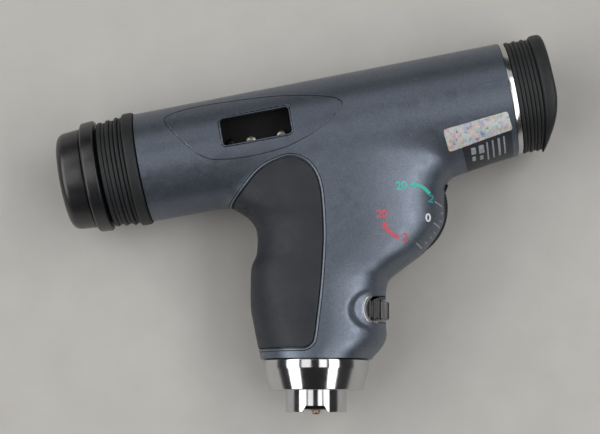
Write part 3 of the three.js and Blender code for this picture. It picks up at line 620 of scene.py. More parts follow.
class Nodes:
    """A small helper round one material's node tree."""

    def __init__(self, name):
        self.material = bpy.data.materials.new(name)
        self.material.use_nodes = True
        self.tree = self.material.node_tree
        self.shader = self.tree.nodes["Principled BSDF"]
        self.place = self.node("TexCoord").outputs["Object"]

    def value(self, socket, source):
        if hasattr(source, "is_linked"):
            self.tree.links.new(source, socket)
        elif socket.type == "RGBA":
            socket.default_value = (*source, 1)
        else:
            socket.default_value = source

    def put(self, node, **inputs):
        """Links or sets a node's inputs; an underscore in a name stands for a space."""
        for key, source in inputs.items():
            self.value(node.inputs[key.replace("_", " ")], source)

    def node(self, kind, **inputs):
        node = self.tree.nodes.new("ShaderNode" + kind)
        self.put(node, **inputs)
        return node

    def math(self, operation, a, b, clamp=False):
        node = self.node("Math")
        node.operation = operation
        node.use_clamp = clamp
        self.value(node.inputs[0], a)
        self.value(node.inputs[1], b)
        return node.outputs[0]

    def mapping(self, scale, turn):
        node = self.node("Mapping", Vector=self.place, Scale=scale, Rotation=(0, 0, turn))
        return node.outputs["Vector"]

    def noise(self, per_mm, detail, rough, place=None, distortion=0.0):
        node = self.node(
            "TexNoise", Vector=place or self.place, Scale=per_mm / MM, Detail=detail, Roughness=rough,
            Distortion=distortion,
        )
        return node.outputs["Fac"]

    def cells(self, per_mm):
        """Random cells: the distance from each cell's middle, and the channels of its colour."""
        node = self.node("TexVoronoi", Vector=self.place, Scale=per_mm / MM)
        channels = self.node("SeparateColor", Color=node.outputs["Color"]).outputs
        return node.outputs["Distance"], channels

    def ramp(self, source, *stops):
        node = self.node("ValToRGB", Fac=source)
        fill_ramp(node.color_ramp, stops)
        return node.outputs["Color"]

    def mix(self, share, a, b):
        node = self.node("Mix")
        node.data_type = "RGBA"
        for index, source in ((0, share), (6, a), (7, b)):
            self.value(node.inputs[index], source)
        return node.outputs[2]

    def towards(self, source, low, high, most, a, b):
        """From a towards b, by up to a share, as the source rises from low to high."""
        return self.mix(self.ramp(source, (low, 0.0), (high, most)), a, b)

    def masked(self, mask, share, a, b):
        """Colour a, with a share of b where the mask is."""
        return self.mix(self.math("MULTIPLY", mask, share), a, b)

    def bump(self, height, strength, depth_mm):
        node = self.node("Bump", Height=height, Strength=strength, Distance=depth_mm * MM)
        return node.outputs["Normal"]

    def specks(self, spacing_mm, radius_mm, share):
        """1 on a few small round specks, 0 elsewhere."""
        distance, channels = self.cells(1 / spacing_mm)
        near = self.math("LESS_THAN", distance, radius_mm / spacing_mm)
        return self.math("MULTIPLY", near, self.math("LESS_THAN", channels[0], share))

    def wear(self, low, high, noise):
        """Rubbed edges, broken up by a noise."""
        node = self.node("NewGeometry")
        return self.math("MULTIPLY", self.ramp(node.outputs["Pointiness"], (low, 0.0), (high, 1.0)), noise)

    def set(self, **inputs):
        self.put(self.shader, **inputs)
        return self.material


def grey(value, blue=0.0):
    return (value * (1 - blue), value, value * (1 + blue))


def scaled(base, factor, lift=0.0):
    return tuple(c * factor + lift for c in base)


def painted(name, base, rough=0.38, metal=0.8, lift=1.0):
    """Metallic housing paint: fine flake, slight mottle, a few scratches and dust specks."""
    m = Nodes(name)
    colour = m.mix(m.cells(6.0)[1][1], scaled(base, 0.72), scaled(base, 1.35))
    colour = m.towards(m.noise(1.6, 3, 0.6), 0.3, 0.7, 0.45, colour, scaled(base, 1.18))
    colour = m.towards(m.noise(0.05, 2, 0.5), 0.35, 0.7, 0.3, colour, scaled(base, 0.82))
    streak = m.noise(1.0, 2, 0.6, m.mapping((0.12, 2.2, 1.0), 0.6))
    colour = m.towards(streak, 0.735, 0.765, 0.35, colour, grey(0.42, 0.03))
    colour = m.masked(m.specks(5.5, 0.17, 0.1), 0.85, colour, grey(0.6, 0.02))
    colour = m.masked(m.wear(0.56, 0.66, m.noise(0.8, 2, 0.6)), 0.5, colour, grey(0.35, 0.04))
    return m.set(
        Base_Color=colour, Metallic=metal, Coat_Weight=0.12 * lift, Coat_Roughness=0.3,
        Roughness=m.ramp(m.noise(0.35, 4, 0.6), (0.3, rough - 0.05), (0.7, rough + 0.07)),
        Normal=m.bump(m.noise(4.5, 2, 0.6), 0.16, 0.02),
    )


def rubbery(name, base, rough, grain, strength, dust, spec):
    """Moulded rubber or matte plastic: fine grain, a little dust and rubbed edges."""
    m = Nodes(name)
    colour = m.towards(m.noise(0.12, 4, 0.6), 0.35, 0.7, 1.0, base, scaled(base, 1.5))
    colour = m.towards(m.noise(grain, 3, 0.6), 0.45, 0.75, 0.5, colour, scaled(base, 1.9, 0.004))
    colour = m.masked(m.specks(2.4, 0.11, dust), 0.6, colour, grey(0.3))
    colour = m.masked(m.wear(0.54, 0.64, m.noise(0.7, 3, 0.6)), 0.25, colour, scaled(base, 3, 0.02))
    return m.set(
        Base_Color=colour, Specular_IOR_Level=spec,
        Roughness=m.ramp(m.noise(0.5, 3, 0.6), (0.3, rough - 0.06), (0.7, rough + 0.08)),
        Normal=m.bump(m.noise(grain, 4, 0.65), strength, 0.03),
    )


def glossy(name, base, rough, haze, level=0.5):
    """Glossy moulded plastic with faint polishing swirls, fingerprints and dust."""
    m = Nodes(name)
    cloud = m.noise(0.09, 5, 0.65, distortion=0.8)
    colour = m.towards(cloud, 0.4, 0.75, 0.6, base, scaled(base, 2.2))
    colour = m.masked(m.specks(2.0, 0.09, 0.12), 0.6, colour, grey(0.35))
    prints = m.noise(0.25, 5, 0.7, distortion=0.5)
    return m.set(
        Base_Color=colour, Specular_IOR_Level=level,
        Roughness=m.ramp(prints, (0.3, rough), (0.75, rough + haze)),
        Normal=m.bump(m.noise(1.8, 3, 0.6), 0.05, 0.02),
    )


def metal(name, base, rough, turn_axis=None, lines=0.12):
    """Turned and plated metal, with fine tool lines across its axis."""
    m = Nodes(name)
    scale = {"y": (0.15, 9.0, 0.15), "barrel": (9.0, 0.15, 0.15)}.get(turn_axis, (1.5, 1.5, 1.5))
    turn = -TILT if turn_axis == "barrel" else 0.0
    fine = m.noise(1.0, 3, 0.6, m.mapping(scale, turn))
    smudge = m.noise(0.18, 4, 0.65, distortion=0.6)
    tint = m.towards(fine, 0.3, 0.7, 1.0, scaled(base, 0.93), base)
    tint = m.towards(smudge, 0.45, 0.75, 0.35, tint, scaled(base, 0.8))
    return m.set(
        Base_Color=tint, Metallic=1.0, Roughness=m.ramp(smudge, (0.35, rough), (0.75, rough + 0.09)),
        Normal=m.bump(fine, lines, 0.01),
    )


def glass(name, tint):
    m = Nodes(name)
    smear = m.noise(0.3, 3, 0.6)
    colour = m.towards(smear, 0.4, 0.7, 1.0, tint, scaled(tint, 0.94))
    roughness = m.ramp(smear, (0.4, 0.01), (0.75, 0.05))
    return m.set(Base_Color=colour, Roughness=roughness, Transmission_Weight=1.0, IOR=1.5)


RAINBOW = [
    (0.25, (0.16, 0.2, 0.62)), (0.36, (0.62, 0.52, 0.85)), (0.46, (0.30, 0.78, 0.62)),
    (0.54, (0.9, 0.9, 0.88)), (0.63, (0.92, 0.42, 0.5)), (0.74, (0.85, 0.78, 0.3)), (0.88, (0.4, 0.3, 0.75)),
]


def foil_material():
    """Holographic foil: bright metal broken into small patches of shifting colour."""
    m = Nodes("foil")
    patches, grain = m.cells(1.05)[1], m.cells(4.5)[1]
    wave = m.noise(0.22, 3, 0.6, distortion=1.5)
    hue = m.math("ADD", m.math("MULTIPLY", patches[0], 0.5), m.math("MULTIPLY", wave, 0.55))
    shown = m.ramp(m.noise(0.4, 3, 0.65), (0.40, 0.1), (0.55, 1.0))
    colour = m.mix(shown, (0.86, 0.87, 0.9), m.ramp(hue, *RAINBOW))
    colour = m.masked(grain[2], 0.35, colour, (0.95, 0.95, 0.94))
    colour = m.towards(m.noise(0.8, 3, 0.7), 0.64, 0.70, 0.75, colour, (0.06, 0.07, 0.10))
    normal = m.bump(patches[1], 0.35, 0.02)
    return m.set(Base_Color=colour, Metallic=0.35, Roughness=0.3, Normal=normal, Coat_Weight=0.3)


def ink(name, base, wear_share=0.0):
    """Printing ink, rubbed thin in places so that the paint shows through."""
    m = Nodes(name)
    rub = m.noise(2.2, 4, 0.7)
    colour = m.towards(rub, 0.35, 0.7, 0.35, base, scaled(base, 0.72))
    thin = m.ramp(m.noise(1.1, 4, 0.7), (0.62 - wear_share, 0.0), (0.8 - wear_share, 1.0))
    colour = m.mix(m.math("MULTIPLY", thin, wear_share * 1.6, clamp=True), colour, (0.12, 0.14, 0.17))
    return m.set(Base_Color=colour, Roughness=0.5, Normal=m.bump(rub, 0.1, 0.01))


def floor_material():
    m = Nodes("floor")
    colour = m.towards(m.noise(0.06, 5, 0.6), 0.3, 0.7, 1.0, (0.488, 0.473, 0.446), (0.527, 0.511, 0.484))
    return m.set(Base_Color=colour, Roughness=0.55, Normal=m.bump(m.noise(0.8, 3, 0.5), 0.1, 0.05))


PAINT = (0.138, 0.160, 0.198)
MATERIALS = {
    "housing": painted("housing_paint", PAINT),
    # the pad's bead: the housing paint made lighter, a painted highlight
    "bead": painted("bead_highlight_paint", (0.16, 0.185, 0.22), 0.34, 0.7, 2.0),
    # the dial mouth's edge: a far lighter paint than the housing, a painted highlight
    "rim": painted("mouth_highlight_paint", (0.34, 0.36, 0.39), 0.26, 0.7, 2.0),
    "panel": painted("panel_paint", (0.128, 0.148, 0.184), 0.38, 0.8),
    "pad": rubbery("grip_rubber", (0.021, 0.0235, 0.028), 0.5, 3.0, 0.22, 0.05, 0.3),
    "rubber": rubbery("black_rubber", (0.0115, 0.0125, 0.0135), 0.52, 3.0, 0.35, 0.10, 0.45),
    "inner": rubbery("inner_black", (0.004, 0.004, 0.0045), 0.7, 3.0, 0.2, 0.02, 0.2),
    "wheel": rubbery("wheel_plastic", (0.009, 0.009, 0.0095), 0.4, 4.0, 0.15, 0.08, 0.5),
    "dial": rubbery("dial_plastic", (0.006, 0.006, 0.0062), 0.18, 4.0, 0.05, 0.03, 0.75),
    "gloss": glossy("gloss_plastic", (0.0062, 0.0066, 0.008), 0.28, 0.12, 0.85),
    "chrome_y": metal("chrome_base", (0.62, 0.62, 0.63), 0.08, "y", 0.05),
    "chrome_x": metal("chrome_trim", (0.62, 0.615, 0.61), 0.12, "barrel", 0.02),
    "steel": metal("steel", (0.5, 0.49, 0.46), 0.28),
    "gilt": metal("gilt", (0.46, 0.31, 0.22), 0.38, "y"),
    "brass": metal("screw_metal", (0.42, 0.41, 0.34), 0.32),
    "dark_metal": metal("blackened_screw", (0.03, 0.03, 0.03), 0.5),
    "mirror": metal("mirror", (0.9, 0.9, 0.9), 0.03),
    "glass": glass("glass", (0.93, 0.97, 0.97)),
    "green_glass": glass("green_glass", (0.15, 0.62, 0.28)),
    "foil": foil_material(),
    "label": glossy("label_film", (0.022, 0.025, 0.031), 0.34, 0.1),
    "ink_white": ink("ink_white", (0.86, 0.87, 0.88)),
    "ink_grey": ink("ink_grey", (0.42, 0.44, 0.47), 0.26),
    "ink_tick": ink("ink_tick", (0.36, 0.36, 0.37), 0.1),
    "ink_green": ink("ink_green", (0.062, 0.54, 0.46), 0.05),
    "ink_teal": ink("ink_teal", (0.03, 0.33, 0.33), 0.1),
    "ink_red": ink("ink_red", (0.60, 0.085, 0.12), 0.08),
}


def finish_piece(obj, body, material, slot, *nodes):
    """Material, body and the CAD nodes that the piece stands for; the slot argument is not used."""
    obj.data.materials.clear()
    obj.data.materials.append(MATERIALS[material])
    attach(obj, body)
    if nodes:
        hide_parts(*nodes)
    return obj


# ------------------------------------------------------------------ housing

def pad_polygon():
    """The pad's outline, run on to the left past the front of the neck."""
    bottom, left = -NECK_LENGTH + 2.0, -34.0
    corner = [(-4.6, bottom), (-2.5, bottom + 0.15), (-0.9, bottom + 0.9), (0.15, bottom + 2.0)]
    corner = catmull(corner, steps=5)
    upper = catmull([(-0.6, -68.6)] + PAD_OUTLINE, steps=10)
    upper = upper[upper[:, 1] > bottom + 2.4]
    (x0, y0), (x1, y1) = PAD_OUTLINE[-2:]
    end = (left, y1 + (y1 - y0) / (x1 - x0) * (left - x1))
    return np.vstack([[(left, bottom)], corner, upper, [end]])


PAD = Outline(pad_polygon(), 4.0, 0.12)
PANEL = Outline(catmull(PANEL_OUTLINE, closed=True, steps=10), 3.0, 0.12)
WINDOW_MAP = Outline(rounded_rectangle(*WINDOW), 3.0, 0.06)
MOUTH_HALF = [(15.5, 0), (15.7, 1.5), (16.3, 2.8), (17.4, 3.75), (19.4, 4.2), (26, 4.5)]
MOUTH_SIDE = catmull([(15.7, -1.5)] + MOUTH_HALF, steps=6)[6:]
MOUTH = Outline(np.vstack([
    MOUTH_SIDE * (1, -1) + (0, DIAL_Y), (MOUTH_SIDE[1:] + (0, DIAL_Y))[::-1],
]), 3.0, 0.06)


def grown(outline, amount):
    """The outline's polygon moved outwards."""
    p = outline.polygon
    tangent = np.roll(p, -1, axis=0) - np.roll(p, 1, axis=0)
    normal = np.column_stack([tangent[:, 1], -tangent[:, 0]])
    normal /= np.linalg.norm(normal, axis=1, keepdims=True)
    area = (p[:, 0] * np.roll(p[:, 1], -1) - p[:, 1] * np.roll(p[:, 0], -1)).sum()
    return p + normal * (amount if area > 0 else -amount)


def offset_solid(name, amount, step, reach=0.0):
    """The near half of the form shrunk by an amount, run on a little past its middle and its ends."""
    verts, quads = surface(
        lambda x, y, z: form(x, y, z) + amount,
        (-62 - reach, -73.5 - reach, -1.7 - reach), (67 + reach, 33 + reach, 19.9), step,
    )
    return solid(name, verts, quads)


def housing_base():
    """The near half of the shell: the hollow form, with its recesses, its slots and the dial's mouth."""
    outer = offset_solid("outer", 0.0, 0.55)
    floor = offset_solid("floor", SKIN, 0.75, 1.0)
    keep = prism("keep", clip_polygon(), 0.1, FAR)
    cut(outer, offset_solid("inner", WALL, 1.0, 2.0))
    boolean(outer, keep, "INTERSECT")
    recesses = [
        prism("pad_tool", PAD.polygon, -5, FAR), prism("panel_tool", PANEL.polygon, 2, FAR, barrel=True),
    ]
    for tool in recesses:
        boolean(tool, floor)
    drop(floor, keep)
    half_wheel, half_dial = WHEEL_HALF + SLOT_GAP, DIAL_HALF + SLOT_GAP
    cut(
        outer, *recesses,
        prism("wheel_slot", circle(WHEEL_RADIUS + 0.35), -half_wheel, half_wheel, centre=(WHEEL_X, WHEEL_Y)),
        prism("dial_slot", circle(DIAL_RADIUS + 0.2), DIAL_Y - half_dial, DIAL_Y + half_dial, axis="y",
              centre=(DIAL_X, 0)),
        prism("dial_mouth", MOUTH.polygon, 1.0, FAR),
    )
    return outer


def clip_polygon():
    """Where the three end planes of the housing leave it: a closed polygon in the instrument frame."""
    u = np.array([COS, SIN])
    n = np.array([-SIN, COS])
    front, rear = u * HOUSING_FRONT, u * HOUSING_REAR

    def at_bottom(base):
        return base + n * ((-NECK_LENGTH - base[1]) / n[1])

    return [front + n * FAR, at_bottom(front), at_bottom(rear), rear + n * FAR]


def mirrored(obj, name):
    new = make_object(name, obj.data.copy())
    write_mesh(new.data, read_mesh(new.data) * (1, 1, -1))
    new.data.flip_normals()
    new.data.update()
    return new


def build_housing():
    near = housing_base()
    far = mirrored(near, "housing_far_shell")
    cut(near, prism("window", grown(WINDOW_MAP, 0.42), 2, FAR, barrel=True))
    near.name = "housing_near_shell"
    for shell, node in ((near, "housing_near"), (far, "housing_far")):
        polish(shell, form, 0.02)
        finish_piece(shell, "housing", "housing", "housing", node)


def field_piece(name, field, box, step, *finish):
    """A piece bounded by a field's zero surface inside a box of two corners."""
    obj = solid(name, *surface(field, *box, step))
    polish(obj, field, ON_FIELD)
    finish_piece(obj, *finish)


def skin_piece(name, limit, box, step, top, rounding, *finish):
    """A piece of skin between the surface and its floor, inside an outline's field."""
    def field(x, y, z):
        f = form(x, y, z)
        return smooth_max(smooth_max(f - top, -(f + SKIN_FLOOR), 0.15), limit(x, y, z), rounding)

    field_piece(name, field, box, step, *finish)


def tube(across, up, radius):
    """Signed distance to a round bead along a line, from the distances across and above it."""
    return np.sqrt(across ** 2 + up ** 2 + 1e-9) - radius


BEAD_LINE = 0.5


def build_pad():
    def pad_limit(x, y, z):
        return PAD(x, y) + 2 * BEAD_LINE + 0.12

    def bead_field(x, y, z):
        return tube(PAD(x, y) + BEAD_LINE, form(x, y, z) + 0.24, 0.38)

    skin_piece(
        "grip_pad_rubber", pad_limit, ((-34, -70, -18.5), (7, -4, 18.5)), 0.5, 0.02, 0.7,
        "housing", "pad", "grip", "grip_pad",
    )
    # the bead's lighter paint is a painted highlight
    field_piece(
        "grip_pad_bead", bead_field, ((-36, -70, -18.6), (7, -4, 18.6)), 0.24, "housing", "bead", "housing",
    )


def build_mouth_rim():
    """The rounded edge round the inner end of the dial's opening, in a much lighter paint than the housing: a
    painted highlight.
    """
    def rim_field(x, y, z):
        thick = np.clip((17.4 - x) / 1.6, 0, 1)
        edge = tube(MOUTH(x, y) - 0.12 - 0.3 * thick, form(x, y, z) + 0.3 + 0.28 * thick, 0.42 + 0.38 * thick)
        return smooth_max(edge, x - 17.6, 0.5)

    low, high = np.array((14, DIAL_Y - 6, 4)), np.array((22, DIAL_Y + 6, 17))
    for side, name in ((1, "dial_mouth_rim_near"), (-1, "dial_mouth_rim_far")):
        box = np.sort(np.array([low * (1, 1, side), high * (1, 1, side)]), axis=0)
        field_piece(name, rim_field, box, 0.16, "housing", "rim", "housing")


def panel_limit(x, y, z):
    """Inside the side panel; the joint round it is tighter along its lower side."""
    s, n = to_barrel(x, y)
    return PANEL(s, n) + 0.05 + 0.09 * np.clip((n - 1) / 8, 0, 1)


def windowed_limit(x, y, z):
    return smooth_max(panel_limit(x, y, z), 0.3 - WINDOW_MAP(*to_barrel(x, y)), 0.3)


def build_panels():
    def frame_field(x, y, z):
        f = form(x, y, z)
        wall = np.abs(WINDOW_MAP(*to_barrel(x, y)) + 0.02) - 0.24
        return smooth_max(smooth_max(f + 0.12, -(f + 2.6), 0.2), wall, 0.3)

    skin_piece(
        "side_panel_near_skin", windowed_limit, ((-52, -14, 6.0), (14, 17, 18.6)), 0.36, -0.02, 0.28,
        "housing", "panel", "housing", "side_panel_near",
    )
    skin_piece(
        "side_panel_far_skin", panel_limit, ((-52, -14, -18.6), (14, 17, -6.0)), 0.36, -0.02, 0.28,
        "housing", "panel", "housing", "side_panel_far",
    )
    field_piece("window_rim", frame_field, ((-34, -8, 8), (0, 14, 18.6)), 0.2, "housing", "panel", "housing")


# ------------------------------------------------------------------ ends of the barrel

def rib_pair(start, pitch, lead, share, high, low):
    """A high rib and a low one within one pitch; each is given by its foot and crest radius."""
    middle = start + share * pitch
    return (
        rib(start + lead, middle, *high, 2.6, 10)
        + rib(middle + 0.04 * pitch, start + pitch - 0.05, *low, 3.2, 8)
    )


def build_front():
    rear, front, main = -55.4, -67.2, 3.7
    bore = 14.6
    ribs_end = rear - main
    pitch = (ribs_end - front) / 3
    profile = [(bore, front), (15.3, front)]
    for i, crest in enumerate((16.65, 16.95, 17.25)):
        profile += rib_pair(front + i * pitch, pitch, 0.1, 0.52, (16.2, crest), (16.0, crest - 0.38))
    profile += rib(ribs_end, rear - 0.05, 16.4, 17.9, 4.5, 20)
    profile += [(bore, rear - 0.05)]
    finish_piece(lathe("front_bumper_rubber", profile), "housing", "rubber", "rubber", "front_bumper")

    ring_rear = front - 0.85
    ring_front = -72.6
    ring = soften([
        (14.65, ring_front), (16.6, ring_front), (17.35, ring_front + 0.55), (17.62, ring_rear - 0.35),
        (17.1, ring_rear), (14.65, ring_rear),
    ], 0.5)
    finish_piece(lathe("nose_ring_gloss", ring), "nose", "gloss", "gloss_black", "nose_ring")

    cap_rear, cap_front = ring_front - 0.3, ring_front - 8.0
    cap = [(11.6, cap_front + 0.5), (11.9, cap_front + 0.12), (12.4, cap_front)]
    centre_r, centre_s, big = 15.35 - 2.9, cap_front + 2.9, 2.9
    cap += [
        (centre_r + big * math.sin(a), centre_s - big * math.cos(a))
        for a in np.linspace(0.05, math.pi / 2 - 0.1, 14)
    ]
    cap += [(15.75, cap_rear - 0.5), (15.7, cap_rear - 0.1), (15.4, cap_rear), (13, cap_rear),
            (13, cap_front + 2.2), (11.9, cap_front + 2.0), (11.6, cap_front + 1.6)]
    finish_piece(lathe("nose_cap_gloss", cap), "nose", "gloss", "gloss_black", "nose_cap")


def lens_profile(radius, middle, edge, bulge_low, bulge_high):
    shares = np.linspace(0, 1, 13)
    profile = [(radius * t, middle - edge / 2 - bulge_low * (1 - t * t)) for t in shares]
    profile += [(radius * t, middle + edge / 2 + bulge_high * (1 - t * t)) for t in shares[::-1]]
    return profile


def build_rear():
    trim_front, trim_rear = 61.25, 62.95
    trim = soften([
        (14.6, trim_front), (17.6, trim_front), (17.5, trim_front + 0.5), (17.2, trim_rear),
        (14.6, trim_rear),
    ], 0.16)
    finish_piece(lathe("rear_trim_chrome", trim), "housing", "chrome_x", "chrome", "rear_trim_ring")

    front, end, bore = 63.1, 74.98, 14.6
    lip_front = end - 4.5
    pitch = (lip_front - front) / 3
    profile = [(bore, front), (16.6, front)]
    for i in range(3):
        profile += rib_pair(front + i * pitch, pitch, 0.05, 0.5, (17.05, 17.68), (16.95, 17.34))
    profile += rib(lip_front, end, 15.6, 18.32, 3.4, 24)[:-1]
    profile += [(15.4, end - 0.1), (bore + 0.2, end - 0.2), (bore, end - 0.6)]
    rest = lathe("brow_rest_rubber", profile, smooth_angle=40)
    cut_back(rest, front, lip_front, end)
    finish_piece(rest, "housing", "rubber", "rubber", "brow_rest")


BROW_CUT = [(-19.5, 6.4), (-16, 4.1), (-12, 2.0), (-9, 0.9), (-4, 0.0), (4, 0.0), (19, 0.0)]
RIB_SHARE = 0.26


def cut_back(rest, front, lip_front, end):
    """Slants the lip: it gets shorter across the barrel, and the ribs close up a little with it."""
    slant = catmull(BROW_CUT, steps=12)
    verts = read_mesh(rest.data)
    s, n = to_barrel(verts[:, 0], verts[:, 1])
    whole = np.interp(n, slant[:, 0], slant[:, 1])
    ribs = whole * RIB_SHARE
    in_ribs = np.clip((s - front) / (lip_front - front), 0, 1)
    in_lip = np.clip((s - lip_front) / (end - lip_front), 0, 1)
    s = s - ribs * in_ribs - (whole - ribs) * in_lip
    verts[:, 0], verts[:, 1] = from_barrel(s, n)
    write_mesh(rest.data, verts)


def build_lenses():
    nose_front = -80.6
    lenses = [
        ("nose_lens_glass", (12.7, nose_front + 4.1, 2.2, 1.2, 1.6), "nose", "nose_lens"),
        ("objective_lens_glass", (12.6, -62.0, 3, 3, 2), "housing", "objective_lens"),
        ("eyepiece_lens_glass", (12.6, 58.0, 2.4, 1.8, 1), "housing", "eyepiece_lens"),
    ]
    for name, shape, body, node in lenses:
        finish_piece(lathe(name, lens_profile(*shape), segments=96), body, "glass", "glass", node)


# ------------------------------------------------------------------ base and lamp

def build_base():
    flange = SKIRT_TOP - 2.8
    skirt = soften([
        (9.8, SKIRT_END), (14.6, SKIRT_END), (16.5, SKIRT_TOP - 2.6), (16.5, SKIRT_TOP), (13.9, SKIRT_TOP),
        (13.9, SKIRT_TOP + 3.5), (12.3, SKIRT_TOP + 3.5), (12.3, flange - 0.3), (9.8, flange - 0.3),
    ], [0.1, 0.3, 0.45, 0.3, 0.1, 0.1, 0.1, 0.1, 0.1])
    chrome = lathe("base_skirt_chrome", skirt, "y", 224, smooth_angle=24)
    finish_piece(chrome, "housing", "chrome_y", "chrome", "base_skirt")
    barrel = soften([
        (5.7, BAYONET_END), (9.5, BAYONET_END), (9.5, flange), (12.0, flange), (12.0, flange + 3),
        (5.7, flange + 3),
    ], [0.2, 0.3, 0.1, 0.1, 0.1, 0.1])
    bayonet = lathe("bayonet_chrome", barrel, "y", smooth_angle=24)
    cut(bayonet, prism("notch", [
        (-4.15, BAYONET_END - 2), (4.15, BAYONET_END - 2), (4.15, BAYONET_END), (2.85, BAYONET_END + 2),
        (-2.85, BAYONET_END + 2), (-4.15, BAYONET_END),
    ], -FAR, FAR))
    smooth(bayonet.data, 24)
    finish_piece(bayonet, "housing", "chrome_y", "chrome", "bayonet_barrel")

    end = BAYONET_END
    contact = soften([
        (0, end - 0.1), (0.5, end - 0.1), (0.62, end - 0.6), (0.9, end - 0.62), (1.25, end - 0.1),
        (1.3, end + 1.8), (0, end + 1.8),
    ], [0, 0.1, 0.1, 0.15, 0.2, 0.1, 0])
    finish_piece(lathe("lamp_contact_gilt", contact, "y", 64), "lamp", "gilt", "gilt", "lamp_contact")
    lamp_end, lamp_top = end + 0.6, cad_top("lamp_body")
    body = soften([
        (1.9, lamp_end), (3.4, lamp_end), (4.0, lamp_end + 0.8), (4.0, lamp_top), (0, lamp_top),
        (0, lamp_end + 2.1), (1.9, lamp_end + 2.1),
    ], [0.1, 0.2, 0.2, 0.2, 0, 0, 0.1])
    finish_piece(lathe("lamp_body_steel", body, "y", 96), "lamp", "steel", "steel", "lamp_body")
    sleeve_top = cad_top("lamp_sleeve")
    sleeve = soften([(4.35, end + 1), (5.4, end + 1), (5.4, sleeve_top), (4.35, sleeve_top)], 0.15)
    liner = lathe("lamp_sleeve_black", sleeve, "y", 96)
    finish_piece(liner, "housing", "inner", "inner_black", "lamp_sleeve")


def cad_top(node):
    """The top of a CAD node along the neck axis, mm in the instrument frame."""
    return (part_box(node)[1].y - ORIGIN[1]) / MM


# ------------------------------------------------------------------ wheels and screws

def toothed(radius, depth, count, per_tooth, sharp=1.0):
    """A closed outline with rounded teeth."""
    out = []
    for i in range(count * per_tooth):
        a = 2 * math.pi * i / (count * per_tooth)
        r = radius - depth * (1 - (0.5 + 0.5 * math.cos(a * count)) ** sharp)
        out.append((r * math.cos(a), r * math.sin(a)))
    return np.array(out)


def spiral_groove():
    """The wheel's cam groove as a flat outline round the wheel's centre."""
    start, end, half_width, turn = 6.0, 13.5, 1.35, math.radians(300)
    middle, overrun = (start + end) / 2, 1.1 * math.asin(half_width / start)
    turns = np.linspace(-turn / 2 - overrun, turn / 2 + overrun, 120)
    radius, direction = middle + (end - start) / turn * turns, math.pi + TILT - turns
    ray = np.column_stack([np.cos(direction), np.sin(direction)])
    outer, inner = (radius + half_width)[:, None] * ray, (radius - half_width)[:, None] * ray
    return np.vstack([outer, inner[::-1]])


def build_focus_wheel():
    hub, half = (WHEEL_X, WHEEL_Y), WHEEL_HALF
    wheel = prism("focus_wheel_disc", toothed(WHEEL_RADIUS, 0.14, 96, 6), -half, half, centre=hub)
    rim = soften([
        (13.0, -4), (22.0, -4), (22.0, 4), (13.0, 4), (13.0, half + 0.1), (15.3, half + 0.1),
        (16.2, half - 0.7), (16.2, -half + 0.7), (15.3, -half - 0.1), (13.0, -half - 0.1),
    ], 0.1)
    cut(
        wheel, lathe("rim_tool", rim, "z", 96, hub), prism("bore", circle(1.7, 48), -10, 10, centre=hub),
        prism("groove", spiral_groove(), half - 1.9, 10, centre=hub),
    )
    smooth(wheel.data, 28)
    finish_piece(wheel, "wheel", "wheel", "wheel_black", "focus_wheel")


def build_slot_shade_block():
    """A black block at the top of the wheel's slot, standing where the slot's dark inside shows: painted shade.
    """
    outline = [(38.6, -15.2), (41.4, -16.3), (40.6, -18.2), (40.0, -17.1), (38.8, -16.2)]
    corner = prism("slot_shade_block", outline, -3.6, 3.6)
    finish_piece(corner, "housing", "inner", "inner_black")


def build_dial():
    hub, low, high = (DIAL_X, 0), DIAL_Y - DIAL_HALF, DIAL_Y + DIAL_HALF
    dial = prism("aperture_dial_rim", toothed(DIAL_RADIUS, 0.8, 42, 12, 1.6), low, high, axis="y", centre=hub)
    edge = [
        (12.0, DIAL_Y - 8), (20.0, DIAL_Y - 8), (20.0, DIAL_Y + 8), (12.0, DIAL_Y + 8), (12.0, high + 0.1),
        (12.9, high - 0.55), (12.9, low + 0.55), (12.0, low - 0.1),
    ]
    web_top, above = low + 1.6, DIAL_Y + 9
    pocket = [(3, web_top), (11.7, web_top), (11.7, above), (3, above)]
    holes = [(1.38, hub)]
    for i, radius in enumerate((1.5, 1.1, 0.8, 1.3, 1.5)):
        a = math.pi + i / 5 * 2 * math.pi
        holes.append((radius, (DIAL_X + DIAL_X * math.cos(a), DIAL_X * -math.sin(a))))
    cut(
        dial, lathe("edge_tool", edge, "y", 96, hub), lathe("pocket_tool", pocket, "y", 96, hub),
        *(prism("hole", circle(radius, 40), DIAL_Y - 9, above, axis="y", centre=at) for radius, at in holes),
    )
    smooth(dial.data, 28)
    finish_piece(dial, "dial", "dial", "wheel_black", "aperture_dial")


def build_screws():
    """The screws seen in the window: a turned head with a cross cut in it."""
    seat, radius, height = 8.65, 1.75, 1.2
    top = seat + height
    profile = soften([
        (0, top), (0.9, top - 0.04), (radius - 0.15, top - 0.42), (radius, seat + 0.3), (radius, seat),
        (0.9, seat), (0.9, seat - 5), (0, seat - 5),
    ], [0, 0.3, 0.3, 0.2, 0.1, 0.1, 0.1, 0])
    for number, s, material in ((1, -20, "brass"), (2, -10.2, "brass"), (3, -26.5, "dark_metal")):
        spot = from_barrel(s, 0.75)
        screw = lathe(f"window_screw_{number}_head", profile, "z", 64, spot)
        for width, length in ((0.5, 2.2), (2.2, 0.5)):
            cut(screw, prism("slot", rounded_rectangle(*spot, width, length, 0.12), seat + 0.55, seat + 5))
        smooth(screw.data, 30)
        finish_piece(screw, "housing", material, "steel", f"window_screw_{number}")


# ------------------------------------------------------------------ print and labels

ABOVE_FACE = 18.6


def on_surface(x, y):
    """Height of the near face over (x, y), found from above it."""
    z = np.full(len(x), ABOVE_FACE)
    for _ in range(60):
        z = z - np.clip(form(x, y, z), -0.5, 0.5) * 0.8
    return z


PRINT_HEIGHT, PRINT_DEPTH = 0.045, 0.05


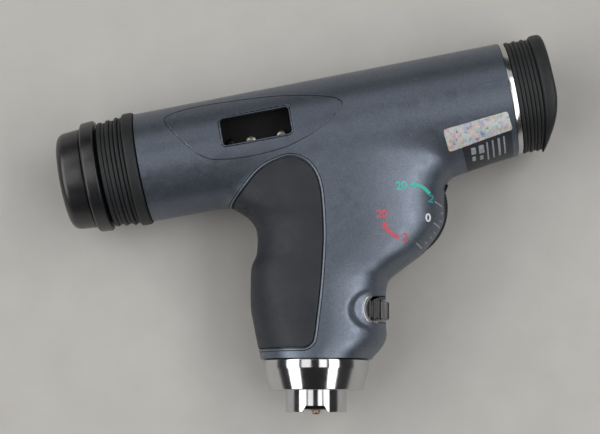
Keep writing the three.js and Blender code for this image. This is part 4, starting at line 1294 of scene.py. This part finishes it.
def print_on(name, bm, material):
    """A flat shape in XY, laid on the near face as a thin solid film."""
    bmesh.ops.remove_doubles(bm, verts=bm.verts, dist=0.003)
    bmesh.ops.triangulate(bm, faces=bm.faces)
    for _ in range(3):
        long = [e for e in bm.edges if e.calc_length() > 0.7]
        if not long:
            break
        bmesh.ops.subdivide_edges(bm, edges=long, cuts=1)
        bmesh.ops.triangulate(bm, faces=bm.faces)
    bm.verts.ensure_lookup_table()
    xy = np.array([v.co[:2] for v in bm.verts])
    points = np.column_stack([xy, on_surface(*xy.T)])
    slope = gradient(form, points)
    slope /= np.linalg.norm(slope, axis=1, keepdims=True)
    top, bottom = points + slope * PRINT_HEIGHT, points - slope * PRINT_DEPTH
    count = len(points)
    bm.verts.index_update()

    def facing_up(face):
        ids = [v.index for v in face.verts]
        return ids if face.normal.z >= 0 else ids[::-1]

    faces = []
    for face in bm.faces:
        ids = facing_up(face)
        faces += [ids, [i + count for i in reversed(ids)]]
    for edge in bm.edges:
        if len(edge.link_faces) == 1:
            ids = facing_up(edge.link_faces[0])
            a, b = edge.verts[0].index, edge.verts[1].index
            if ids[(ids.index(a) + 1) % len(ids)] != b:
                a, b = b, a
            faces.append([b, a, a + count, b + count])
    bm.free()
    mesh = make_mesh(name, np.vstack([top, bottom]), faces)
    finish_piece(make_object(name, mesh), "housing", material, "label")


def digits(text, x, y, height, turn, bold):
    """The outline of plain numbers, centred on a place."""
    curve = bpy.data.curves.new("digits", "FONT")
    curve.body = text
    curve.size = height / 0.70
    curve.offset = bold * height
    curve.align_x = "CENTER"
    curve.resolution_u = 4
    holder = make_object("digits", curve)
    bpy.context.view_layer.update()
    mesh = bpy.data.meshes.new_from_object(holder.evaluated_get(bpy.context.evaluated_depsgraph_get()))
    bm = bmesh.new()
    bm.from_mesh(mesh)
    bpy.data.objects.remove(holder)
    bpy.data.curves.remove(curve)
    bpy.data.meshes.remove(mesh)
    bmesh.ops.translate(bm, verts=bm.verts, vec=(0, -height / 2, 0))
    bmesh.ops.rotate(bm, verts=bm.verts, cent=(0, 0, 0), matrix=Matrix.Rotation(math.radians(turn), 3, "Z"))
    bmesh.ops.translate(bm, verts=bm.verts, vec=(x, y, 0))
    return bm


def strokes(lines, width):
    """Flat strokes along open lines, as one shape."""
    bm = bmesh.new()
    for line in lines:
        p = np.asarray(line, float)
        tangent = np.gradient(p, axis=0)
        tangent /= np.linalg.norm(tangent, axis=1, keepdims=True)
        side = np.column_stack([-tangent[:, 1], tangent[:, 0]])
        w = np.asarray(width if hasattr(width, "__len__") else np.full(len(p), width))[:, None] / 2
        left = [bm.verts.new((*q, 0)) for q in p + side * w]
        right = [bm.verts.new((*q, 0)) for q in p - side * w]
        for i in range(len(p) - 1):
            bm.faces.new([right[i], right[i + 1], left[i + 1], left[i]])
    return bm


def arrow(points, width, head_length, head_width):
    """A curved arrow along the points, its head at the last one."""
    line = catmull(points, steps=8)
    tip = line[-1]
    away = np.linalg.norm(line - tip, axis=1)
    body = line[away > head_length * 0.85]
    bm = strokes([body], width)
    direction = tip - body[-1]
    direction /= np.linalg.norm(direction)
    side = np.array([-direction[1], direction[0]])
    back = tip - direction * head_length
    notch, half = back + direction * head_length * 0.12, side * head_width / 2
    corners = [tip, back + half, notch, back - half]
    bm.faces.new([bm.verts.new((*c, 0)) for c in corners])
    return bm


def build_print():
    print_on("scale_zero", digits("0", 34.9, -27.2, 2.45, 0, 0.035), "ink_white")
    print_on("scale_green_20", digits("20", 26.7, -17.5, 2.45, 8, 0.035), "ink_green")
    green = [(35.4, -19.9), (34.6, -18.9), (33.2, -17.9), (31.4, -17.25), (28.9, -17.2)]
    print_on("scale_green_arrow", arrow(green, 1.1, 2.3, 2.3), "ink_green")
    print_on("scale_green_step", digits("2", 35.9, -21.3, 2.3, -14, 0.05), "ink_teal")
    print_on("scale_red_20", digits("20", 20.7, -26.3, 2.3, 4, 0.045), "ink_red")
    red = [(25.9, -33.6), (24.3, -32.9), (22.7, -31.6), (21.7, -30.2), (21.1, -28.3)]
    print_on("scale_red_arrow", arrow(red, 1.15, 2.4, 2.3), "ink_red")
    print_on("scale_red_step", digits("2", 27.8, -33.3, 2.3, -4, 0.05), "ink_red")
    long_ticks = [
        [(37.0, -22.1), (39.4, -23.4)], [(36.6, -28.7), (38.8, -29.9)], [(31.2, -35.0), (33.0, -36.4)],
    ]
    print_on("scale_long_ticks", strokes([np.linspace(a, b, 5) for a, b in long_ticks], 0.36), "ink_tick")
    centre = np.array([WHEEL_X, WHEEL_Y])
    small = []
    for x, y in [(39.4, -25.5), (39.0, -28.0), (37.2, -31.7), (36.0, -33.2), (34.4, -34.8)]:
        p = np.array([x, y])
        out = (p - centre) / np.linalg.norm(p - centre)
        small.append(np.linspace(p - out * 0.55, p + out * 0.25, 3))
    print_on("scale_small_ticks", strokes(small, 0.26), "ink_tick")


LABEL_RADIUS = 17.9
FILM_GRID = (40, 24)


def rounded_grid(length, width, corner):
    """A grid over a rectangle, with its points pulled in at the corners to round them."""
    u, v = np.meshgrid(*(np.linspace(0, 1, n + 1) for n in FILM_GRID), indexing="ij")
    x, y = u * length, v * width
    for cx, cy in ((0, 0), (length, 0), (length, width), (0, width)):
        mx = corner if cx == 0 else length - corner
        my = corner if cy == 0 else width - corner
        dx, dy = x - mx, y - my
        inside = (dx * (cx - mx) > 0) & (dy * (cy - my) > 0)
        reach = np.maximum(np.abs(dx), np.abs(dy))
        radial = np.hypot(dx, dy) + 1e-9
        x = np.where(inside, mx + dx * reach / radial, x)
        y = np.where(inside, my + dy * reach / radial, y)
    return x, y


def film_faces():
    """Faces of a film: its upper and lower grid, and the strip round their edge."""
    nu, nv = FILM_GRID
    row = nv + 1
    count = (nu + 1) * row
    faces = []
    for i in range(nu):
        for j in range(nv):
            a = i * row + j
            quad = [a, a + row, a + row + 1, a + 1]
            faces += [quad, [q + count for q in reversed(quad)]]
    ring = [i * row for i in range(nu)] + [nu * row + j for j in range(nv)]
    ring += [i * row + nv for i in range(nu, 0, -1)] + list(range(nv, 0, -1))
    faces += [[b, a, a + count, b + count] for a, b in zip(ring, ring[1:] + ring[:1])]
    return faces


def barrel_film(name, corners, low, high, corner, material, slot, *nodes):
    """A thin label on the barrel: corners in (s, angle below the near line, degrees), rounded."""
    corners = np.array(corners, float)
    flat = corners * (1, 0.5 * (FRONT_RADIUS + REAR_RADIUS) * math.pi / 180)
    length, width = np.linalg.norm(flat[1] - flat[0]), np.linalg.norm(flat[3] - flat[0])
    x, y = rounded_grid(length, width, corner)
    u, v = (x / length)[..., None], (y / width)[..., None]
    near, far = (1 - u) * corners[0] + u * corners[1], (1 - u) * corners[3] + u * corners[2]
    spot = (1 - v) * near + v * far
    s, angle = spot[..., 0], np.radians(spot[..., 1])

    def at(radius):
        return *from_barrel(s, -radius * np.sin(angle)), radius * np.cos(angle)

    r = barrel_radius(s, np.sin(angle))
    for _ in range(6):
        r = r - form(*at(r))
    layers = [np.stack(at(r + lift), -1).reshape(-1, 3) for lift in (high, low)]
    finish_piece(solid(name, np.vstack(layers), film_faces(), 40), "housing", material, slot, *nodes)


def label_angle(n):
    return math.degrees(math.asin(-n / LABEL_RADIUS))


def build_labels():
    foil = [(38.7, -7.8), (59.1, -5.9), (59.9, -11.3), (39.5, -13.7)]
    foil = [(s, label_angle(n)) for s, n in foil]
    barrel_film("foil_sticker", foil, 0.14, 0.26, 0.9, "foil", "foil", "foil_label")
    rating = [(43.6, 43.0), (59.4, 36.0), (59.4, 86.0), (44.6, 86.0)]
    barrel_film("rating_film", rating, 0.03, 0.09, 0.5, "label", "label", "rating_label")
    for i, (s, low, high, width) in enumerate([
        (46.3, 51, 59, 1.5), (48.7, 50, 60, 1.7), (51.2, 48, 73, 0.5), (53.0, 47, 72, 0.5),
        (54.8, 46, 71, 0.7), (56.6, 45, 70, 0.5), (46.4, 62, 68, 1.1), (48.8, 63, 69, 1.1),
    ]):
        bar = [(s, low), (s + width, low), (s + width, high), (s, high)]
        barrel_film(f"rating_bar_{i + 1}", bar, 0.08, 0.12, 0.15, "ink_grey", "label")


# ------------------------------------------------------------------ carried-over CAD nodes

CARRIED = {
    "inner": [
        "chassis", "screw_plate", "objective_retainer", "eyepiece_retainer", "mirror_holder", "lens_carriage",
        "light_frame", "condenser_tube",
    ],
    "steel": ["wheel_axle", "guide_rod_near", "guide_rod_far", "aperture_axle", "detent_spring"],
    "glass": ["focus_lens", "condenser_lens", "projection_lens", "lamp_bulb"],
    "green_glass": ["red_free_filter"],
    "mirror": ["mirror"],
}


def paint_carried():
    for material, names in CARRIED.items():
        for name in names:
            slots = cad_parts[name].data.materials
            slots.clear()
            slots.append(MATERIALS[material])


# ------------------------------------------------------------------ studio

def build_floor():
    size, steps = 3.0, 24
    bm = bmesh.new()
    bmesh.ops.create_grid(bm, x_segments=steps, y_segments=steps, size=size)
    mesh = bpy.data.meshes.new("floor")
    bm.to_mesh(mesh)
    bm.free()
    floor = make_object("floor", mesh)
    floor.location = (0, 0, -0.0001)
    mesh.materials.append(floor_material())


def matrix_of(x, y, z, place):
    """World matrix from three axes and a place."""
    return Matrix([(x[i], y[i], z[i], place[i]) for i in range(3)] + [(0, 0, 0, 1)])


LAMP_DISTANCE = 1.25
LAMPS = [
    ("panel_left", -49, 0, 28, 76, 2.75),
    ("panel_right", 41, 0, 21, 76, 3.2),
    ("panel_top_left", -19, 2, 20, 36, 1.3),
    ("panel_top_right", 17, 2, 16, 36, 1.75),
    ("panel_high", 0, 46, 60, 28, 0.55),
]
SKY = [(0.0, 0.16), (0.05, 0.14), (0.1, 0.05), (0.6, 0.03)]


def panel_light(name, across, along, width, height, radiance):
    """A soft light panel: angles from straight up towards +X and +Y, and angular sizes, degrees."""
    a, b = math.radians(across), math.radians(along)
    z = Vector((math.sin(a) * math.cos(b), math.sin(b), math.cos(a) * math.cos(b))).normalized()
    data = bpy.data.lights.new(name, "AREA")
    data.shape = "RECTANGLE"
    data.size = 2 * LAMP_DISTANCE * math.tan(math.radians(width) / 2)
    data.size_y = 2 * LAMP_DISTANCE * math.tan(math.radians(height) / 2)
    data.energy = radiance * math.pi * data.size * data.size_y
    lamp = make_object(name, data)
    x = Vector((0, 1, 0)).cross(z).normalized()
    lamp.matrix_world = matrix_of(x, z.cross(x), z, z * LAMP_DISTANCE)
    lamp.visible_camera = False


def build_light():
    for lamp in LAMPS:
        panel_light(*lamp)
    world = bpy.data.worlds.new("studio")
    bpy.context.scene.world = world
    world.use_nodes = True
    tree = world.node_tree
    coords = tree.nodes.new("ShaderNodeTexCoord")
    split = tree.nodes.new("ShaderNodeSeparateXYZ")
    ramp = tree.nodes.new("ShaderNodeValToRGB")
    tree.links.new(coords.outputs["Generated"], split.inputs[0])
    tree.links.new(split.outputs["Z"], ramp.inputs["Fac"])
    tree.links.new(ramp.outputs["Color"], tree.nodes["Background"].inputs["Color"])
    fill_ramp(ramp.color_ramp, [(at, (value, value * 0.995, value * 0.98)) for at, value in SKY])
    tree.nodes["Background"].inputs["Strength"].default_value = 1.0


CAMERA_PLACE, CAMERA_TARGET = (21.98, -88.24, 628.0), (-5.02, -25.75, 0.0)
FOCAL_PIXELS, PHOTO_WIDTH, SENSOR = 2011.7, 600, 36.0


def build_camera():
    """The photograph's viewing angle: from above, a little to the rear and below."""
    place = Vector(to_row(CAMERA_PLACE))
    ahead = (Vector(to_row(CAMERA_TARGET)) - place).normalized()
    right = ahead.cross(Vector((0, 1, 0))).normalized()
    data = bpy.data.cameras.new("camera")
    data.sensor_width = SENSOR
    data.lens = FOCAL_PIXELS / PHOTO_WIDTH * SENSOR
    data.clip_start, data.clip_end = 0.01, 20.0
    camera = make_object("camera", data)
    camera.matrix_world = matrix_of(right, right.cross(ahead), -ahead, place)
    bpy.context.scene.camera = camera


build_camera()
build_floor()
build_light()
build_housing()
build_pad()
build_mouth_rim()
build_panels()
build_front()
build_rear()
build_lenses()
build_base()
build_focus_wheel()
build_slot_shade_block()
build_dial()
build_screws()
build_print()
build_labels()
paint_carried()
bpy.context.scene.view_settings.view_transform = "Standard"
